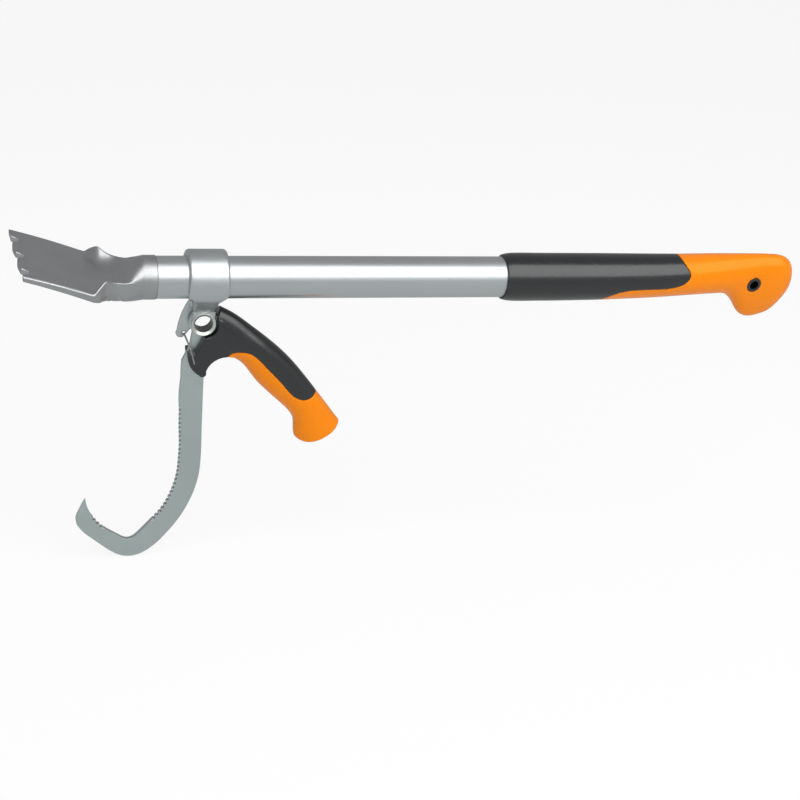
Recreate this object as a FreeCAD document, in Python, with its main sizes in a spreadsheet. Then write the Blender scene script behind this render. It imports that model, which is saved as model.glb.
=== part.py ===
"""Felling lever with a swinging turning hook, as an assembly of separate pieces.

Millimetres. The origin is on the tube's axis, in the middle of the hand grip.
+X runs along the tube towards the butt of the grip, +Y away from the near side of the
hook, +Z up in the plane in which the hook swings.
"""
import FreeCAD, Part
import Sketcher
import math
import os

V = FreeCAD.Vector
doc = FreeCAD.newDocument("felling_lever")

SIZES = [
    ("tube_dia", 40.0, "outer diameter of the tube"),
    ("tube_wall", 2.5, "wall of the tube"),
    ("tube_front", 441.0, "origin to the tube's front end"),
    ("tube_back", 28.0, "origin to the tube's back end, inside the grip"),
    ("press_gap", 0.05, "radial gap of a pressed fit"),
    ("run_gap", 0.08, "radial gap of a turning fit"),
    ("face_gap", 0.1, "gap between faces that turn on each other"),
    ("safe_gap", 0.4, "gap between surfaces that pass each other"),
    ("overrun", 1.0, "how far a cut runs past the solid"),
    ("plug_length", 16.0, "length of the plug in the tube's back end"),
    ("plug_flange", 2.0, "thickness of the plug's flange"),
    ("head_step", 0.7, "how far the head's round end stands out from the tube"),
    ("spigot_length", 44.0, "length of the spigot inside the tube"),
    ("spigot_bore_dia", 22.0, "bore of the hollow spigot"),
    ("socket_length", 12.0, "length of the head's round end"),
    ("neck_length", 49.0, "round end to the blade's root"),
    ("blade_length", 69.0, "blade's root to its front edge, along the tube"),
    ("blade_width", 98.0, "width of the blade at its front edge"),
    ("root_width", 94.0, "width of the blade at its root"),
    ("blade_slope", 17.1, "angle of the blade to the tube, degrees"),
    ("root_thick", 6.3, "thickness of the blade at its root"),
    ("edge_thick", 3.0, "thickness of the blade at its front edge"),
    ("edge_skew", 7.0, "how far the near front corner lies behind the far one"),
    ("tooth_pitch", 33.5, "distance between the notches of the front edge"),
    ("notch_depth", 7.0, "depth of a notch of the front edge"),
    ("notch_width", 11.0, "width of a notch at its mouth"),
    ("heel_pitch", 9.5, "distance between the heel's grooves"),
    ("heel_groove", 1.5, "depth and width of the heel's grooves"),
    ("pin_dia", 4.0, "diameter of the pin that holds the head"),
    ("pin_back", 7.0, "head seam to the pin's axis"),
    ("collar_wall", 6.5, "wall of the collar round the tube"),
    ("collar_length", 38.0, "length of the collar along the tube"),
    ("collar_round", 3.2, "rounding of the collar's ends"),
    ("pivot_front", 394.0, "origin to the hook's pivot, towards the blade"),
    ("pivot_drop", 46.0, "tube axis down to the hook's pivot"),
    ("leg_thick", 3.2, "thickness of the bracket's legs"),
    ("leg_width", 21.2, "width of a leg above the pivot"),
    ("leg_flare", 39.0, "width of a leg where it leaves the collar"),
    ("leg_eye_dia", 24.0, "diameter of a leg's rounded end"),
    ("leg_knee_drop", 33.0, "tube axis down to the knee where the legs turn parallel"),
    ("flare_top_drop", 8.5, "tube axis down to where the legs start to narrow"),
    ("flare_low_drop", 18.0, "tube axis down to where the legs are narrow"),
    ("tongue_reach", 23.4, "pivot to the stop tongue's outer edge, towards the blade"),
    ("tongue_drop", 19.5, "pivot down to the stop tongue's end"),
    ("tongue_rise", 22.7, "pivot up to the stop tongue's root"),
    ("latch_hole_dia", 3.0, "hole in the stop tongue for the latch wire"),
    ("latch_reach", 16.6, "pivot to the latch hole, towards the blade"),
    ("latch_drop", 14.2, "pivot down to the latch hole"),
    ("rivet_bore_dia", 16.8, "bore of the hollow pivot rivet"),
    ("rivet_wall", 1.1, "wall of the hollow pivot rivet"),
    ("rivet_rim_dia", 24.6, "diameter of the rivet's rolled rims"),
    ("rivet_rim_thick", 1.5, "thickness of the rivet's rolled rims"),
    ("washer_dia", 25.0, "outer diameter of the pivot washers"),
    ("washer_thick", 1.0, "thickness of the pivot washers"),
    ("bar_thick", 5.0, "thickness of the hook's bar"),
    ("bar_width", 22.0, "width of the hook's bar"),
    ("bar_eye_dia", 27.0, "diameter of the bar's eye"),
    ("shank_back", 6.9, "pivot to the shank's middle at its top, towards the blade"),
    ("shank_drop", 54.0, "pivot down to the top of the shank"),
    ("shank_lean", 2.7, "lean of the shank, degrees"),
    ("shank_length", 93.4, "straight length of the shank"),
    ("sweep_radius", 120.6, "middle radius of the long bend"),
    ("sweep_turn", 36.4, "turn of the long bend, degrees"),
    ("heel_run", 25.4, "straight length between the bends"),
    ("toe_radius", 27.2, "middle radius of the tight bend"),
    ("toe_turn", 96.6, "turn of the tight bend, degrees"),
    ("foot_length", 55.6, "tight bend to the point, along the foot"),
    ("grip_tooth_pitch", 4.9, "pitch of the bar's small teeth"),
    ("grip_tooth_depth", 1.6, "depth of the bar's small teeth"),
    ("tooth_start_drop", 92.0, "pivot down to the first small tooth"),
    ("tang_length", 64.0, "length of the bar's tang inside the handle"),
    ("tang_width", 15.0, "width of the bar's tang"),
    ("tang_setback", 22.0, "set-back of the tang's top corner, inside the handle's back"),
    ("handle_slope", 50.0, "angle of the hook's handle below the tube's axis, degrees"),
    ("handle_length", 187.3, "length of the hook's handle from its base line"),
    ("handle_rise", 41.3, "handle line to the handle's back at its highest"),
    ("handle_thick", 29.0, "thickness of the hook's handle"),
    ("handle_wall", 4.5, "wall of the hollow part of the handle"),
    ("lobe_thick", 22.0, "thickness of the handle's lobe over the bar"),
    ("pivot_relief_dia", 26.8, "hollow in the handle round the pivot"),
    ("tang_pin_dia", 5.0, "diameter of the pins through the tang"),
    ("tang_pin_length", 17.0, "length of the pins through the tang"),
    ("tang_pin_pitch", 18.0, "distance between the two tang pins"),
    ("tang_pin_first", 30.0, "base line to the first tang pin"),
    ("wire_dia", 1.7, "diameter of the latch wire"),
    ("grip_front", 101.5, "origin to the front of the grip's cover"),
    ("grip_back", 217.2, "origin to the butt of the grip"),
    ("grip_wall", 3.8, "wall of the grip round the tube, near its front"),
    ("nose_wall", 1.8, "wall of the grip round the tube at its front end"),
    ("cover_thick", 1.8, "wall between the tube and the soft cover"),
    ("lip_drop", 44.9, "tube axis down to the bottom of the butt's hook"),
    ("butt_thick", 25.0, "thickness of the grip at the butt"),
    ("hang_back", 170.0, "origin to the hang hole"),
    ("hang_drop", 3.5, "tube axis down to the hang hole"),
    ("hang_hole_dia", 9.6, "narrowest diameter of the hang hole"),
    ("hang_waist", 10.0, "length of the narrowest part of the hang hole"),
    ("liner_dia", 15.2, "outer diameter of the hang hole's liner"),
    ("liner_mouth_dia", 13.2, "diameter of the liner's mouths"),
]

sheet = doc.addObject("Spreadsheet::Sheet", "Sizes")
for row, (alias, value, note) in enumerate(SIZES, start=1):
    sheet.set("A%d" % row, note)
    sheet.set("B%d" % row, str(value))
    sheet.setAlias("B%d" % row, alias)
doc.recompute()


def size(alias):
    """The value of one named cell."""
    return float(sheet.get(alias))


def bind(thing, **expressions):
    """Bind properties to cells; a double underscore in a name stands for a dot."""
    for name, expression in expressions.items():
        thing.setExpression(name.replace("__", "."), expression)


def new_body(label, at_pivot=False):
    body = doc.addObject("PartDesign::Body", label)
    body.Label = label
    if at_pivot:
        bind(body, Placement__Base__x="-Sizes.pivot_front", Placement__Base__z="-Sizes.pivot_drop")
    return body


def new_sketch(body, name, role, edges, offset="0"):
    """A sketch on one of the body's own planes, moved along the plane's normal."""
    sketch = body.newObject("Sketcher::SketchObject", name)
    plane = [item for item in body.Origin.OriginFeatures if item.Role == role][0]
    sketch.AttachmentSupport = [(plane, "")]
    sketch.MapMode = "FlatFace"
    bind(sketch, AttachmentOffset__Base__z=offset)
    sketch.addGeometry(edges, False)
    return sketch


def ring_sketch(body, name, role, radii, offset="0", middle=(0, 0)):
    """Circles about one middle, each radius bound to an expression."""
    centre = V(middle[0], middle[1], 0)
    circles = [Part.Circle(centre, V(0, 0, 1), OVER * (n + 1)) for n in range(len(radii))]
    sketch = new_sketch(body, name, role, circles, offset)
    for n, radius in enumerate(radii):
        sketch.addConstraint(Sketcher.Constraint("Radius", n, OVER * (n + 1)))
        bind(sketch, **{"Constraints[%d]" % n: radius})
    return sketch


def pad(body, name, sketch, length):
    feature = body.newObject("PartDesign::Pad", name)
    feature.Profile = sketch
    bind(feature, Length=length)
    doc.recompute()
    return feature


def pocket_through(body, name, sketch):
    """A cut through everything on both sides of the sketch; it must remove material."""
    before = body.Shape.Volume
    feature = body.newObject("PartDesign::Pocket", name)
    feature.Profile = sketch
    feature.Type = "ThroughAll"
    feature.SideType = "Symmetric"
    doc.recompute()
    if not body.Shape.Volume < before:
        raise RuntimeError(name + " cuts nothing")
    return feature


def turn_about(body, name, sketch, axis):
    feature = body.newObject("PartDesign::Revolution", name)
    feature.Profile = sketch
    feature.ReferenceAxis = (sketch, [axis])
    feature.Angle = 360.0
    doc.recompute()
    return feature


def flat(points):
    """Closed chain of straight edges through flat points."""
    around = points[1:] + points[:1]
    return [line(a, b) for a, b in zip(points, around)]


def line(a, b):
    return Part.LineSegment(V(a[0], a[1], 0), V(b[0], b[1], 0))


def arc(a, b, c):
    return Part.Arc(V(a[0], a[1], 0), V(b[0], b[1], 0), V(c[0], c[1], 0))


def shape_piece(label, shape, place=None):
    """A piece whose form neither a sketch nor a primitive gives."""
    piece = doc.addObject("Part::Feature", label)
    piece.Label = label
    piece.Shape = shape
    if place is not None:
        piece.Placement = place
    return piece


def x_cylinder(radius, start, length):
    return Part.makeCylinder(radius, length, V(start, 0, 0), V(1, 0, 0))


def y_cylinder(radius, length, middle):
    start = V(middle[0], -length / 2, middle[1])
    return Part.makeCylinder(radius, length, start, V(0, 1, 0))


def upright_prism(edges, y_from, y_to):
    """A solid between two planes, from a closed outline in X and Z."""
    wire = Part.Wire([edge.toShape() for edge in edges])
    face = Part.Face(wire)
    face.rotate(V(0, 0, 0), V(1, 0, 0), 90)
    face.translate(V(0, y_from, 0))
    return face.extrude(V(0, y_to - y_from, 0))


TUBE_R = size("tube_dia") / 2
BORE_R = TUBE_R - size("tube_wall")
HEAD_DIA = size("tube_dia") + 2 * size("head_step")
HEAD_R = HEAD_DIA / 2
COLLAR_DIA = size("tube_dia") + 2 * size("collar_wall")
GRIP_DIA = size("tube_dia") + 2 * size("grip_wall")
NOSE_DIA = size("tube_dia") + 2 * size("nose_wall")
PIVOT = V(-size("pivot_front"), 0, -size("pivot_drop"))
SEAM_X = -size("tube_front")
OVER = size("overrun")


def make_tube():
    """Plain aluminium tube, with the hole for the head's pin."""
    body = new_body("lever_tube")
    wall = ring_sketch(body, "tube_rings", "YZ_Plane",
                       ["Sizes.tube_dia / 2", "Sizes.tube_dia / 2 - Sizes.tube_wall"],
                       "-Sizes.tube_front")
    pad(body, "tube_pad", wall, "Sizes.tube_front + Sizes.tube_back")
    pin_x = SEAM_X + size("pin_back")
    hole = ring_sketch(body, "pin_hole", "XY_Plane", ["Sizes.pin_dia / 2"],
                       "-Sizes.tube_dia / 2", (pin_x, 0))
    cut = body.newObject("PartDesign::Pocket", "pin_cut")
    cut.Profile = hole
    cut.Reversed = True
    bind(cut, Length="Sizes.tube_wall * 2")
    doc.recompute()
    return body


def make_tube_plug():
    """Plastic plug that closes the tube's back end inside the grip."""
    body = new_body("tube_plug")
    stem = ring_sketch(body, "plug_stem", "YZ_Plane",
                       ["Sizes.tube_dia / 2 - Sizes.tube_wall - Sizes.press_gap"],
                       "Sizes.tube_back - Sizes.plug_length")
    pad(body, "stem_pad", stem, "Sizes.plug_length")
    flange = ring_sketch(body, "plug_flange_ring", "YZ_Plane", ["Sizes.tube_dia / 2"],
                         "Sizes.tube_back")
    pad(body, "flange_pad", flange, "Sizes.plug_flange")
    return body


NECK_ROOT_X = SEAM_X - size("socket_length") - size("neck_length")
# Stations of the neck, from the blade's root to the round end. Each row holds the share
# of the neck's length, the ridge's reach to each side as a share of half the root's width,
# the heights of ridge, floor and underside as shares of the head's radius, and how square
# the upper and lower halves are: 2 is an ellipse.
NECK_SHARES = [
    (0.00, 1.000, 0.215, 0.210, -0.092, 8.0, 16.0),
    (0.10, 0.925, 0.435, 0.155, -0.242, 6.0, 12.0),
    (0.22, 0.815, 0.638, 0.101, -0.459, 4.5, 6.0),
    (0.35, 0.734, 0.531, 0.111, -0.628, 4.0, 4.3),
    (0.45, 0.668, 0.449, 0.159, -0.749, 4.0, 3.4),
    (0.57, 0.638, 0.411, 0.266, -0.845, 3.5, 3.0),
    (0.67, 0.621, 0.386, 0.459, -0.932, 2.4, 2.6),
    (0.84, 0.553, 0.193, 0.773, -0.995, 2.2, 2.4),
    (1.00, None, 0.000, 0.994, -0.994, 2.0, 2.0),
]
# The neck's last section stays this much inside the round end.
NECK_END_SHARE = 0.994
NECK_POINTS = 12


def neck_half(x, side, rim, middle, square):
    """One half of a neck section, from rim to rim: a dish where the middle is lower."""
    points = []
    for n in range(NECK_POINTS + 1):
        turn = math.pi * n / NECK_POINTS
        if 0 < middle - rim or middle < 0:
            q = math.copysign(abs(math.cos(turn)) ** (2 / square), math.cos(turn))
            rise = math.sin(turn) ** (2 / square) if 0 < n < NECK_POINTS else 0
        else:
            q = math.cos(turn)
            rise = 1 - abs(q) ** square
        points.append(V(x, -side * q, rim + (middle - rim) * rise))
    curve = Part.BSplineCurve()
    curve.interpolate(points)
    return curve.toShape()


def neck_solid(inset):
    """Formed neck: a flat dish at the blade that closes to a round at the tube."""
    wires = []
    for along, reach, ridge, floor, under, top_square, low_square in NECK_SHARES:
        x = NECK_ROOT_X + along * size("neck_length")
        side = HEAD_R * NECK_END_SHARE if reach is None else reach * size("root_width") / 2
        side = side - inset
        rim = ridge * HEAD_R
        top = neck_half(x, side, rim, floor * HEAD_R, top_square)
        low = neck_half(x, side, rim, under * HEAD_R + inset, low_square)
        wires.append(Part.Wire([top, low]))
    return Part.makeLoft(wires, True, True)


# Shape of the front edge: first tooth, slant of a notch's floor and its rounded flank.
FIRST_TOOTH_SHARE = 0.5
NOTCH_LEAN_SHARE = 0.5
NOTCH_BULGE_SHARE = -0.10
# How far a tooth's front swells out, as a share of the notches' depth.
TOOTH_SWELL_SHARE = 0.25


def tooth_front(a, b, outward):
    """Front of one tooth, a little swollen."""
    if a == b:
        raise RuntimeError("a tooth has no width")
    middle = (a + b) / 2 + outward * TOOTH_SWELL_SHARE * (b - a).Length / size("tooth_pitch")
    return Part.Arc(a, middle, b).toShape()


def blade_solid():
    """Sloped wedge of a blade with a notched front edge."""
    length = size("blade_length")
    slope = math.tan(math.radians(size("blade_slope")))
    root_top = NECK_SHARES[0][2] * HEAD_R
    tip_x = NECK_ROOT_X - length
    tip_top = root_top + length * slope
    lap = size("root_thick")
    side = flat([(NECK_ROOT_X + lap, root_top - lap * slope), (tip_x, tip_top),
                 (tip_x, tip_top - size("edge_thick")), (NECK_ROOT_X, root_top - size("root_thick")),
                 (NECK_ROOT_X + lap, root_top - size("root_thick"))])
    half = size("blade_width") / 2
    wedge = upright_prism(side, -half, half)
    root_half = size("root_width") / 2
    lap_half = root_half - lap
    near_x = tip_x + size("edge_skew")
    far = V(tip_x, half, 0)
    near = V(near_x, -half, 0)
    edge = (near - far) / (near - far).Length
    inward = V(-edge.y, edge.x, 0) * (-1 if -edge.y < 0 else 1)
    outline = [V(NECK_ROOT_X + lap, -lap_half, 0), V(NECK_ROOT_X + lap, lap_half, 0),
               V(NECK_ROOT_X, root_half, 0), far]
    segments = []
    for a, b in zip(outline, outline[1:]):
        segments.append(Part.LineSegment(a, b).toShape())
    # The far tooth is a little over half a pitch wide, as are all steps along the edge.
    place = far
    step = size("tooth_pitch") * FIRST_TOOTH_SHARE
    notch = size("notch_width")
    depth = size("notch_depth")
    while (place - far).Length + step + notch < (near - far).Length:
        crest = place + edge * step
        segments.append(tooth_front(place, crest, inward * -depth))
        floor = crest + inward * depth + edge * notch * NOTCH_LEAN_SHARE
        mouth = crest + edge * notch
        segments.append(Part.LineSegment(crest, floor).toShape())
        bulge = (floor + mouth) / 2 + edge * notch * NOTCH_BULGE_SHARE
        segments.append(Part.Arc(floor, bulge, mouth).toShape())
        place = mouth
        step = size("tooth_pitch") - notch
    segments.append(tooth_front(place, near, inward * -depth))
    segments.append(Part.LineSegment(near, V(NECK_ROOT_X, -root_half, 0)).toShape())
    segments.append(Part.LineSegment(V(NECK_ROOT_X, -root_half, 0), outline[0]).toShape())
    plan = Part.Face(Part.Wire(segments))
    plan.translate(V(0, 0, -HEAD_R))
    return wedge.common(plan.extrude(V(0, 0, tip_top + HEAD_DIA)))


# Middle of the heel's grooves, from the blade's root, as a share of the neck's length.
HEEL_MIDDLE_SHARE = 0.36


def make_head():
    """Steel head: blade, formed neck, round end and spigot in one forging."""
    neck = neck_solid(0)
    groove = size("heel_groove")
    core = neck_solid(groove)
    head = neck.fuse(blade_solid())
    socket_x = SEAM_X - size("socket_length")
    head = head.fuse(x_cylinder(HEAD_R, socket_x, size("socket_length")))
    spigot_r = BORE_R - size("press_gap")
    head = head.fuse(x_cylinder(spigot_r, SEAM_X, size("spigot_length")))
    middle = NECK_ROOT_X + size("neck_length") * HEEL_MIDDLE_SHARE
    for n in (-1, 0, 1):
        start = V(middle + n * size("heel_pitch") - groove / 2, -size("root_width"), -HEAD_DIA)
        slab = Part.makeBox(groove, 2 * size("root_width"), HEAD_DIA, start)
        head = head.cut(slab.common(neck).cut(core))
    bore_start = SEAM_X - size("socket_length") / 2
    bore_length = size("spigot_length") + size("socket_length") / 2 + OVER
    head = head.cut(x_cylinder(size("spigot_bore_dia") / 2, bore_start, bore_length))
    pin_x = SEAM_X + size("pin_back")
    pin_hole = Part.makeCylinder(size("pin_dia") / 2, TUBE_R, V(pin_x, 0, -TUBE_R), V(0, 0, 1))
    head = head.cut(pin_hole)
    return shape_piece("blade_head", head.removeSplitter())


def make_head_pin():
    """Short pin through the tube's wall into the spigot, from below."""
    pin = doc.addObject("Part::Cylinder", "head_pin")
    pin.Label = "head_pin"
    bind(pin, Radius="Sizes.pin_dia / 2",
         Height="Sizes.tube_dia / 2 - Sizes.spigot_bore_dia / 2 - Sizes.press_gap",
         Placement__Base__x="-Sizes.tube_front + Sizes.pin_back",
         Placement__Base__z="-Sizes.tube_dia / 2 + Sizes.press_gap")
    return pin


# Width of the crotch between the legs, as a share of their gap.
CROTCH_SHARE = 0.6


def leg_profile():
    """Both legs seen along the tube: they leave the collar's round at a tangent."""
    inner = size("bar_thick") / 2 + size("washer_thick") + 2 * size("face_gap")
    outer = inner + size("leg_thick")
    knee = size("pivot_drop") - size("leg_knee_drop")
    low = -size("leg_eye_dia") / 2 - OVER
    apart = math.hypot(outer, size("leg_knee_drop"))
    reach = math.sqrt(apart ** 2 - COLLAR_DIA ** 2 / 4)
    tilt = math.asin(COLLAR_DIA / 2 / apart) - math.atan2(outer, size("leg_knee_drop"))
    far = outer + reach * math.sin(tilt)
    rise = knee + reach * math.cos(tilt)
    crotch = knee + size("leg_thick")
    return flat([(-far, rise), (-outer, knee), (-outer, low), (-inner, low), (-inner, knee),
                 (-inner * CROTCH_SHARE, crotch), (inner * CROTCH_SHARE, crotch),
                 (inner, knee), (inner, low), (outer, low), (outer, knee), (far, rise)])


def leg_waste():
    """What is cut off the collar's underside and the legs, seen from the side."""
    wide = size("collar_length")
    top = size("pivot_drop")
    low = -size("leg_eye_dia")
    half = size("leg_width") / 2
    flare = size("leg_flare") / 2
    eye = size("leg_eye_dia") / 2
    shoulder = math.sqrt(eye ** 2 - half ** 2)
    flare_top = top - size("flare_top_drop")
    flare_low = top - size("flare_low_drop")
    left = [(-wide, low), (-wide, top), (-flare, top), (-flare, flare_top), (-half, flare_low),
            (-half, shoulder)]
    right = [(-x, z) for x, z in reversed(left)]
    edges = [line(a, b) for side in (left, right) for a, b in zip(side, side[1:])]
    return edges + [arc(left[-1], (0, -eye), right[0]), line(right[-1], left[0])]


# The leaf-shaped stop tongue: shares of its reach, and of its rise (up) or drop (down).
TONGUE_ROOT_SHARE = (0.30, 0.53)
TONGUE_TOP_SHARE = (0.55, 0.94)
TONGUE_BACK_SHARE = (0.865, 0.20)
TONGUE_BELLY_SHARE = (1.0, -0.62)
TONGUE_TIP_SHARE = (0.872, -0.99)
TONGUE_HEEL_SHARE = (0.667, -0.867)
TONGUE_FRONT_SHARE = (0.385, -0.405)
TONGUE_NECK_SHARE = (0.30, -0.31)


def tongue_point(share):
    scale = size("tongue_rise") if share[1] > 0 else size("tongue_drop")
    return (-share[0] * size("tongue_reach"), share[1] * scale)


def make_bracket():
    """Collar with two legs that meet as a clevis, and the stop tongue on the far leg."""
    body = new_body("hook_bracket", True)
    inner = "(Sizes.bar_thick / 2 + Sizes.washer_thick + 2 * Sizes.face_gap)"
    legs = new_sketch(body, "leg_profile", "YZ_Plane", leg_profile(), "-Sizes.collar_length / 2")
    pad(body, "legs_pad", legs, "Sizes.collar_length")
    ring = new_sketch(body, "collar_profile", "XZ_Plane", collar_profile())
    bind(ring, AttachmentOffset__Base__y="Sizes.pivot_drop")
    turn_about(body, "collar_turn", ring, "H_Axis")
    waste = new_sketch(body, "leg_waste", "XZ_Plane", leg_waste())
    pocket_through(body, "legs_cut", waste)
    tongue = [tongue_point(share) for share in (
        TONGUE_ROOT_SHARE, TONGUE_TOP_SHARE, TONGUE_BACK_SHARE, TONGUE_BELLY_SHARE,
        TONGUE_TIP_SHARE, TONGUE_HEEL_SHARE, TONGUE_FRONT_SHARE, TONGUE_NECK_SHARE)]
    leaf = [line(tongue[0], tongue[1]), arc(tongue[1], tongue[2], tongue[3]),
            arc(tongue[3], tongue[4], tongue[5]), line(tongue[5], tongue[6]),
            line(tongue[6], tongue[7]), line(tongue[7], tongue[0])]
    leaf_sketch = new_sketch(body, "tongue_leaf", "XZ_Plane", leaf, "-" + inner + " - Sizes.leg_thick")
    pad(body, "tongue_pad", leaf_sketch, "Sizes.leg_thick")
    bore = ring_sketch(body, "collar_bore", "YZ_Plane", ["Sizes.tube_dia / 2"],
                       "0", (0, size("pivot_drop")))
    pocket_through(body, "collar_cut", bore)
    eyes = ring_sketch(body, "leg_eyes", "XZ_Plane", ["Sizes.rivet_bore_dia / 2 + Sizes.rivet_wall"])
    pocket_through(body, "eyes_cut", eyes)
    latch = ring_sketch(body, "latch_hole", "XZ_Plane", ["Sizes.latch_hole_dia / 2"],
                        "0", (-size("latch_reach"), -size("latch_drop")))
    pocket_through(body, "latch_cut", latch)
    return body


# Middle of a rolled edge's quarter round.
ROLL_SHARE = 1 - math.sqrt(0.5)


def collar_profile():
    """Half section of the collar about the tube's axis, with both outer rims rounded."""
    half = size("collar_length") / 2
    inner = size("tube_dia") / 2
    outer = COLLAR_DIA / 2
    lip = size("collar_round")
    roll = lip * ROLL_SHARE
    return [line((-half, inner), (half, inner)), line((half, inner), (half, outer - lip)),
            arc((half, outer - lip), (half - roll, outer - roll), (half - lip, outer)),
            line((half - lip, outer), (lip - half, outer)),
            arc((lip - half, outer), (roll - half, outer - roll), (-half, outer - lip)),
            line((-half, outer - lip), (-half, inner))]


def make_rivet():
    """Hollow pivot rivet with a rolled rim at each end; one sees through its bore."""
    body = new_body("pivot_rivet", True)
    bore = size("rivet_bore_dia") / 2
    shank = bore + size("rivet_wall")
    rim = size("rivet_rim_dia") / 2
    face = size("bar_thick") / 2 + size("washer_thick") + 2 * size("face_gap") + size("leg_thick")
    end = face + size("rivet_rim_thick")
    lip = size("rivet_rim_thick") / 2
    roll = lip * ROLL_SHARE
    mouth = bore + lip
    flank = rim - lip
    edges = [line((bore, lip - end), (bore, end - lip)),
             arc((bore, end - lip), (bore + roll, end - roll), (mouth, end)),
             line((mouth, end), (flank, end)),
             arc((flank, end), (rim, end - lip), (flank, face)),
             line((flank, face), (shank, face)),
             line((shank, face), (shank, -face)),
             line((shank, -face), (flank, -face)),
             arc((flank, -face), (rim, lip - end), (flank, -end)),
             line((flank, -end), (mouth, -end)),
             arc((mouth, -end), (bore + roll, roll - end), (bore, lip - end))]
    profile = new_sketch(body, "rivet_profile", "XY_Plane", edges)
    turn_about(body, "rivet_turn", profile, "V_Axis")
    return body


def make_washer(label, side):
    """Washer between the bar and one leg; side is -1 for the near one, 1 for the far one."""
    body = new_body(label, True)
    near = "(Sizes.bar_thick / 2 + Sizes.face_gap)"
    offset = "-" + near + " - Sizes.washer_thick" if side > 0 else near
    rings = ring_sketch(body, label + "_rings", "XZ_Plane",
                        ["Sizes.washer_dia / 2",
                         "Sizes.rivet_bore_dia / 2 + Sizes.rivet_wall + Sizes.run_gap"], offset)
    pad(body, label + "_pad", rings, "Sizes.washer_thick")
    return body


class BarPath:
    """Middle line of the hook's bar, walked from the shank's top to the foot."""

    def __init__(self):
        self.place = V(-size("shank_back"), -size("shank_drop"), 0)
        self.heading = math.radians(size("shank_lean") - 90)

    def ahead(self):
        return V(math.cos(self.heading), math.sin(self.heading), 0)

    def inside(self):
        """Unit vector to the inner, toothed edge of the hook."""
        return V(math.sin(self.heading), -math.cos(self.heading), 0)

    def edge(self, side):
        return self.place + self.inside() * side

    def run(self, length):
        self.place = self.place + self.ahead() * length

    def bend(self, radius, turn):
        centre = self.place + self.inside() * radius
        self.heading = self.heading - math.radians(turn)
        self.place = centre - self.inside() * radius


# The foot seen along its own line: shares of the foot's length and of the bar's width.
FOOT_OUTER_SHARES = [(0.306, -0.345), (0.76, -0.164), (0.827, -0.02)]
FOOT_POINT_SHARE = (1.0, 1.06)
FOOT_INNER_SHARES = [(0.858, 0.795), (0.72, 0.59), (0.622, 0.468)]
FOOT_TEETH_END_SHARE = (0.25, 0.40)


def bar_outline():
    """Outline of the hook's shank, bends, toothed edge and pointed foot."""
    half = size("bar_width") / 2
    path = BarPath()
    outer = []
    start_out = path.edge(-half)
    start_in = path.edge(half)
    path.run(size("shank_length"))
    outer.append(line(start_out, path.edge(-half)))
    bends = (("sweep_radius", "sweep_turn", "heel_run"), ("toe_radius", "toe_turn", None))
    for radius, turn, run in bends:
        first = path.edge(-half)
        path.bend(size(radius), size(turn) / 2)
        middle = path.edge(-half)
        path.bend(size(radius), size(turn) / 2)
        outer.append(arc(first, middle, path.edge(-half)))
        if run is not None:
            corner = path.edge(-half)
            path.run(size(run))
            outer.append(line(corner, path.edge(-half)))

    def foot(share):
        along = path.ahead() * share[0] * size("foot_length")
        return path.place + along + path.inside() * share[1] * size("bar_width")

    toe = path.edge(-half)
    chain = [toe] + [foot(share) for share in FOOT_OUTER_SHARES] + [foot(FOOT_POINT_SHARE)]
    chain = chain + [foot(share) for share in FOOT_INNER_SHARES]
    outer.extend(line(a, b) for a, b in zip(chain, chain[1:]))
    # Small teeth of the foot, from its inner corner back towards the tight bend.
    teeth_from = chain[-1]
    teeth_to = foot(FOOT_TEETH_END_SHARE)
    outer.extend(tooth_chain([teeth_from, teeth_to], path.inside()))
    last = path.edge(half)
    outer.append(line(teeth_to, last))
    # Inner edge back up: tight bend, straight, toothed long bend, toothed shank.
    inner = walk_back(half)
    outer.extend(inner)
    outer.append(line(inner[-1].EndPoint, start_in))
    outer.append(line(start_in, start_out))
    return outer


# Where along a tooth its notch is deepest.
TOOTH_DIP_SHARE = 0.35


def tooth_chain(ends, outward):
    """Saw teeth along a straight stretch."""
    run = ends[1] - ends[0]
    count = max(1, round(run.Length / size("grip_tooth_pitch")))
    made = []
    for n in range(count):
        a = ends[0] + run * (n / count)
        b = ends[0] + run * ((n + 1) / count)
        dip = a + (b - a) * TOOTH_DIP_SHARE - outward * size("grip_tooth_depth")
        made.append(line(a, dip))
        made.append(line(dip, b))
    return made


def walk_back(half):
    """Inner edge from the tight bend back up to the first tooth of the shank."""
    path = BarPath()
    path.run(size("shank_length"))
    sweep = inner_arc_points(path, "sweep_radius", "sweep_turn", half)
    run_start = path.edge(half)
    path.run(size("heel_run"))
    toe_start = path.edge(half)
    path.bend(size("toe_radius"), size("toe_turn") / 2)
    toe_middle = path.edge(half)
    path.bend(size("toe_radius"), size("toe_turn") / 2)
    edges = [arc(path.edge(half), toe_middle, toe_start), line(toe_start, run_start)]
    top = BarPath()
    teeth_run = size("tooth_start_drop") - size("shank_drop")
    top.run(teeth_run)
    shank_teeth = size("shank_length") - teeth_run
    count = max(1, round(shank_teeth / size("grip_tooth_pitch")))
    marks = []
    for n in range(count):
        marks.append(top.edge(half))
        top.run(shank_teeth / count)
    marks = marks + sweep
    marks.reverse()
    for a, b in zip(marks, marks[1:]):
        run = b - a
        outward = V(run.y, -run.x, 0) / run.Length
        dip = a + run * TOOTH_DIP_SHARE + outward * size("grip_tooth_depth")
        edges.append(line(a, dip))
        edges.append(line(dip, b))
    return edges


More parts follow.
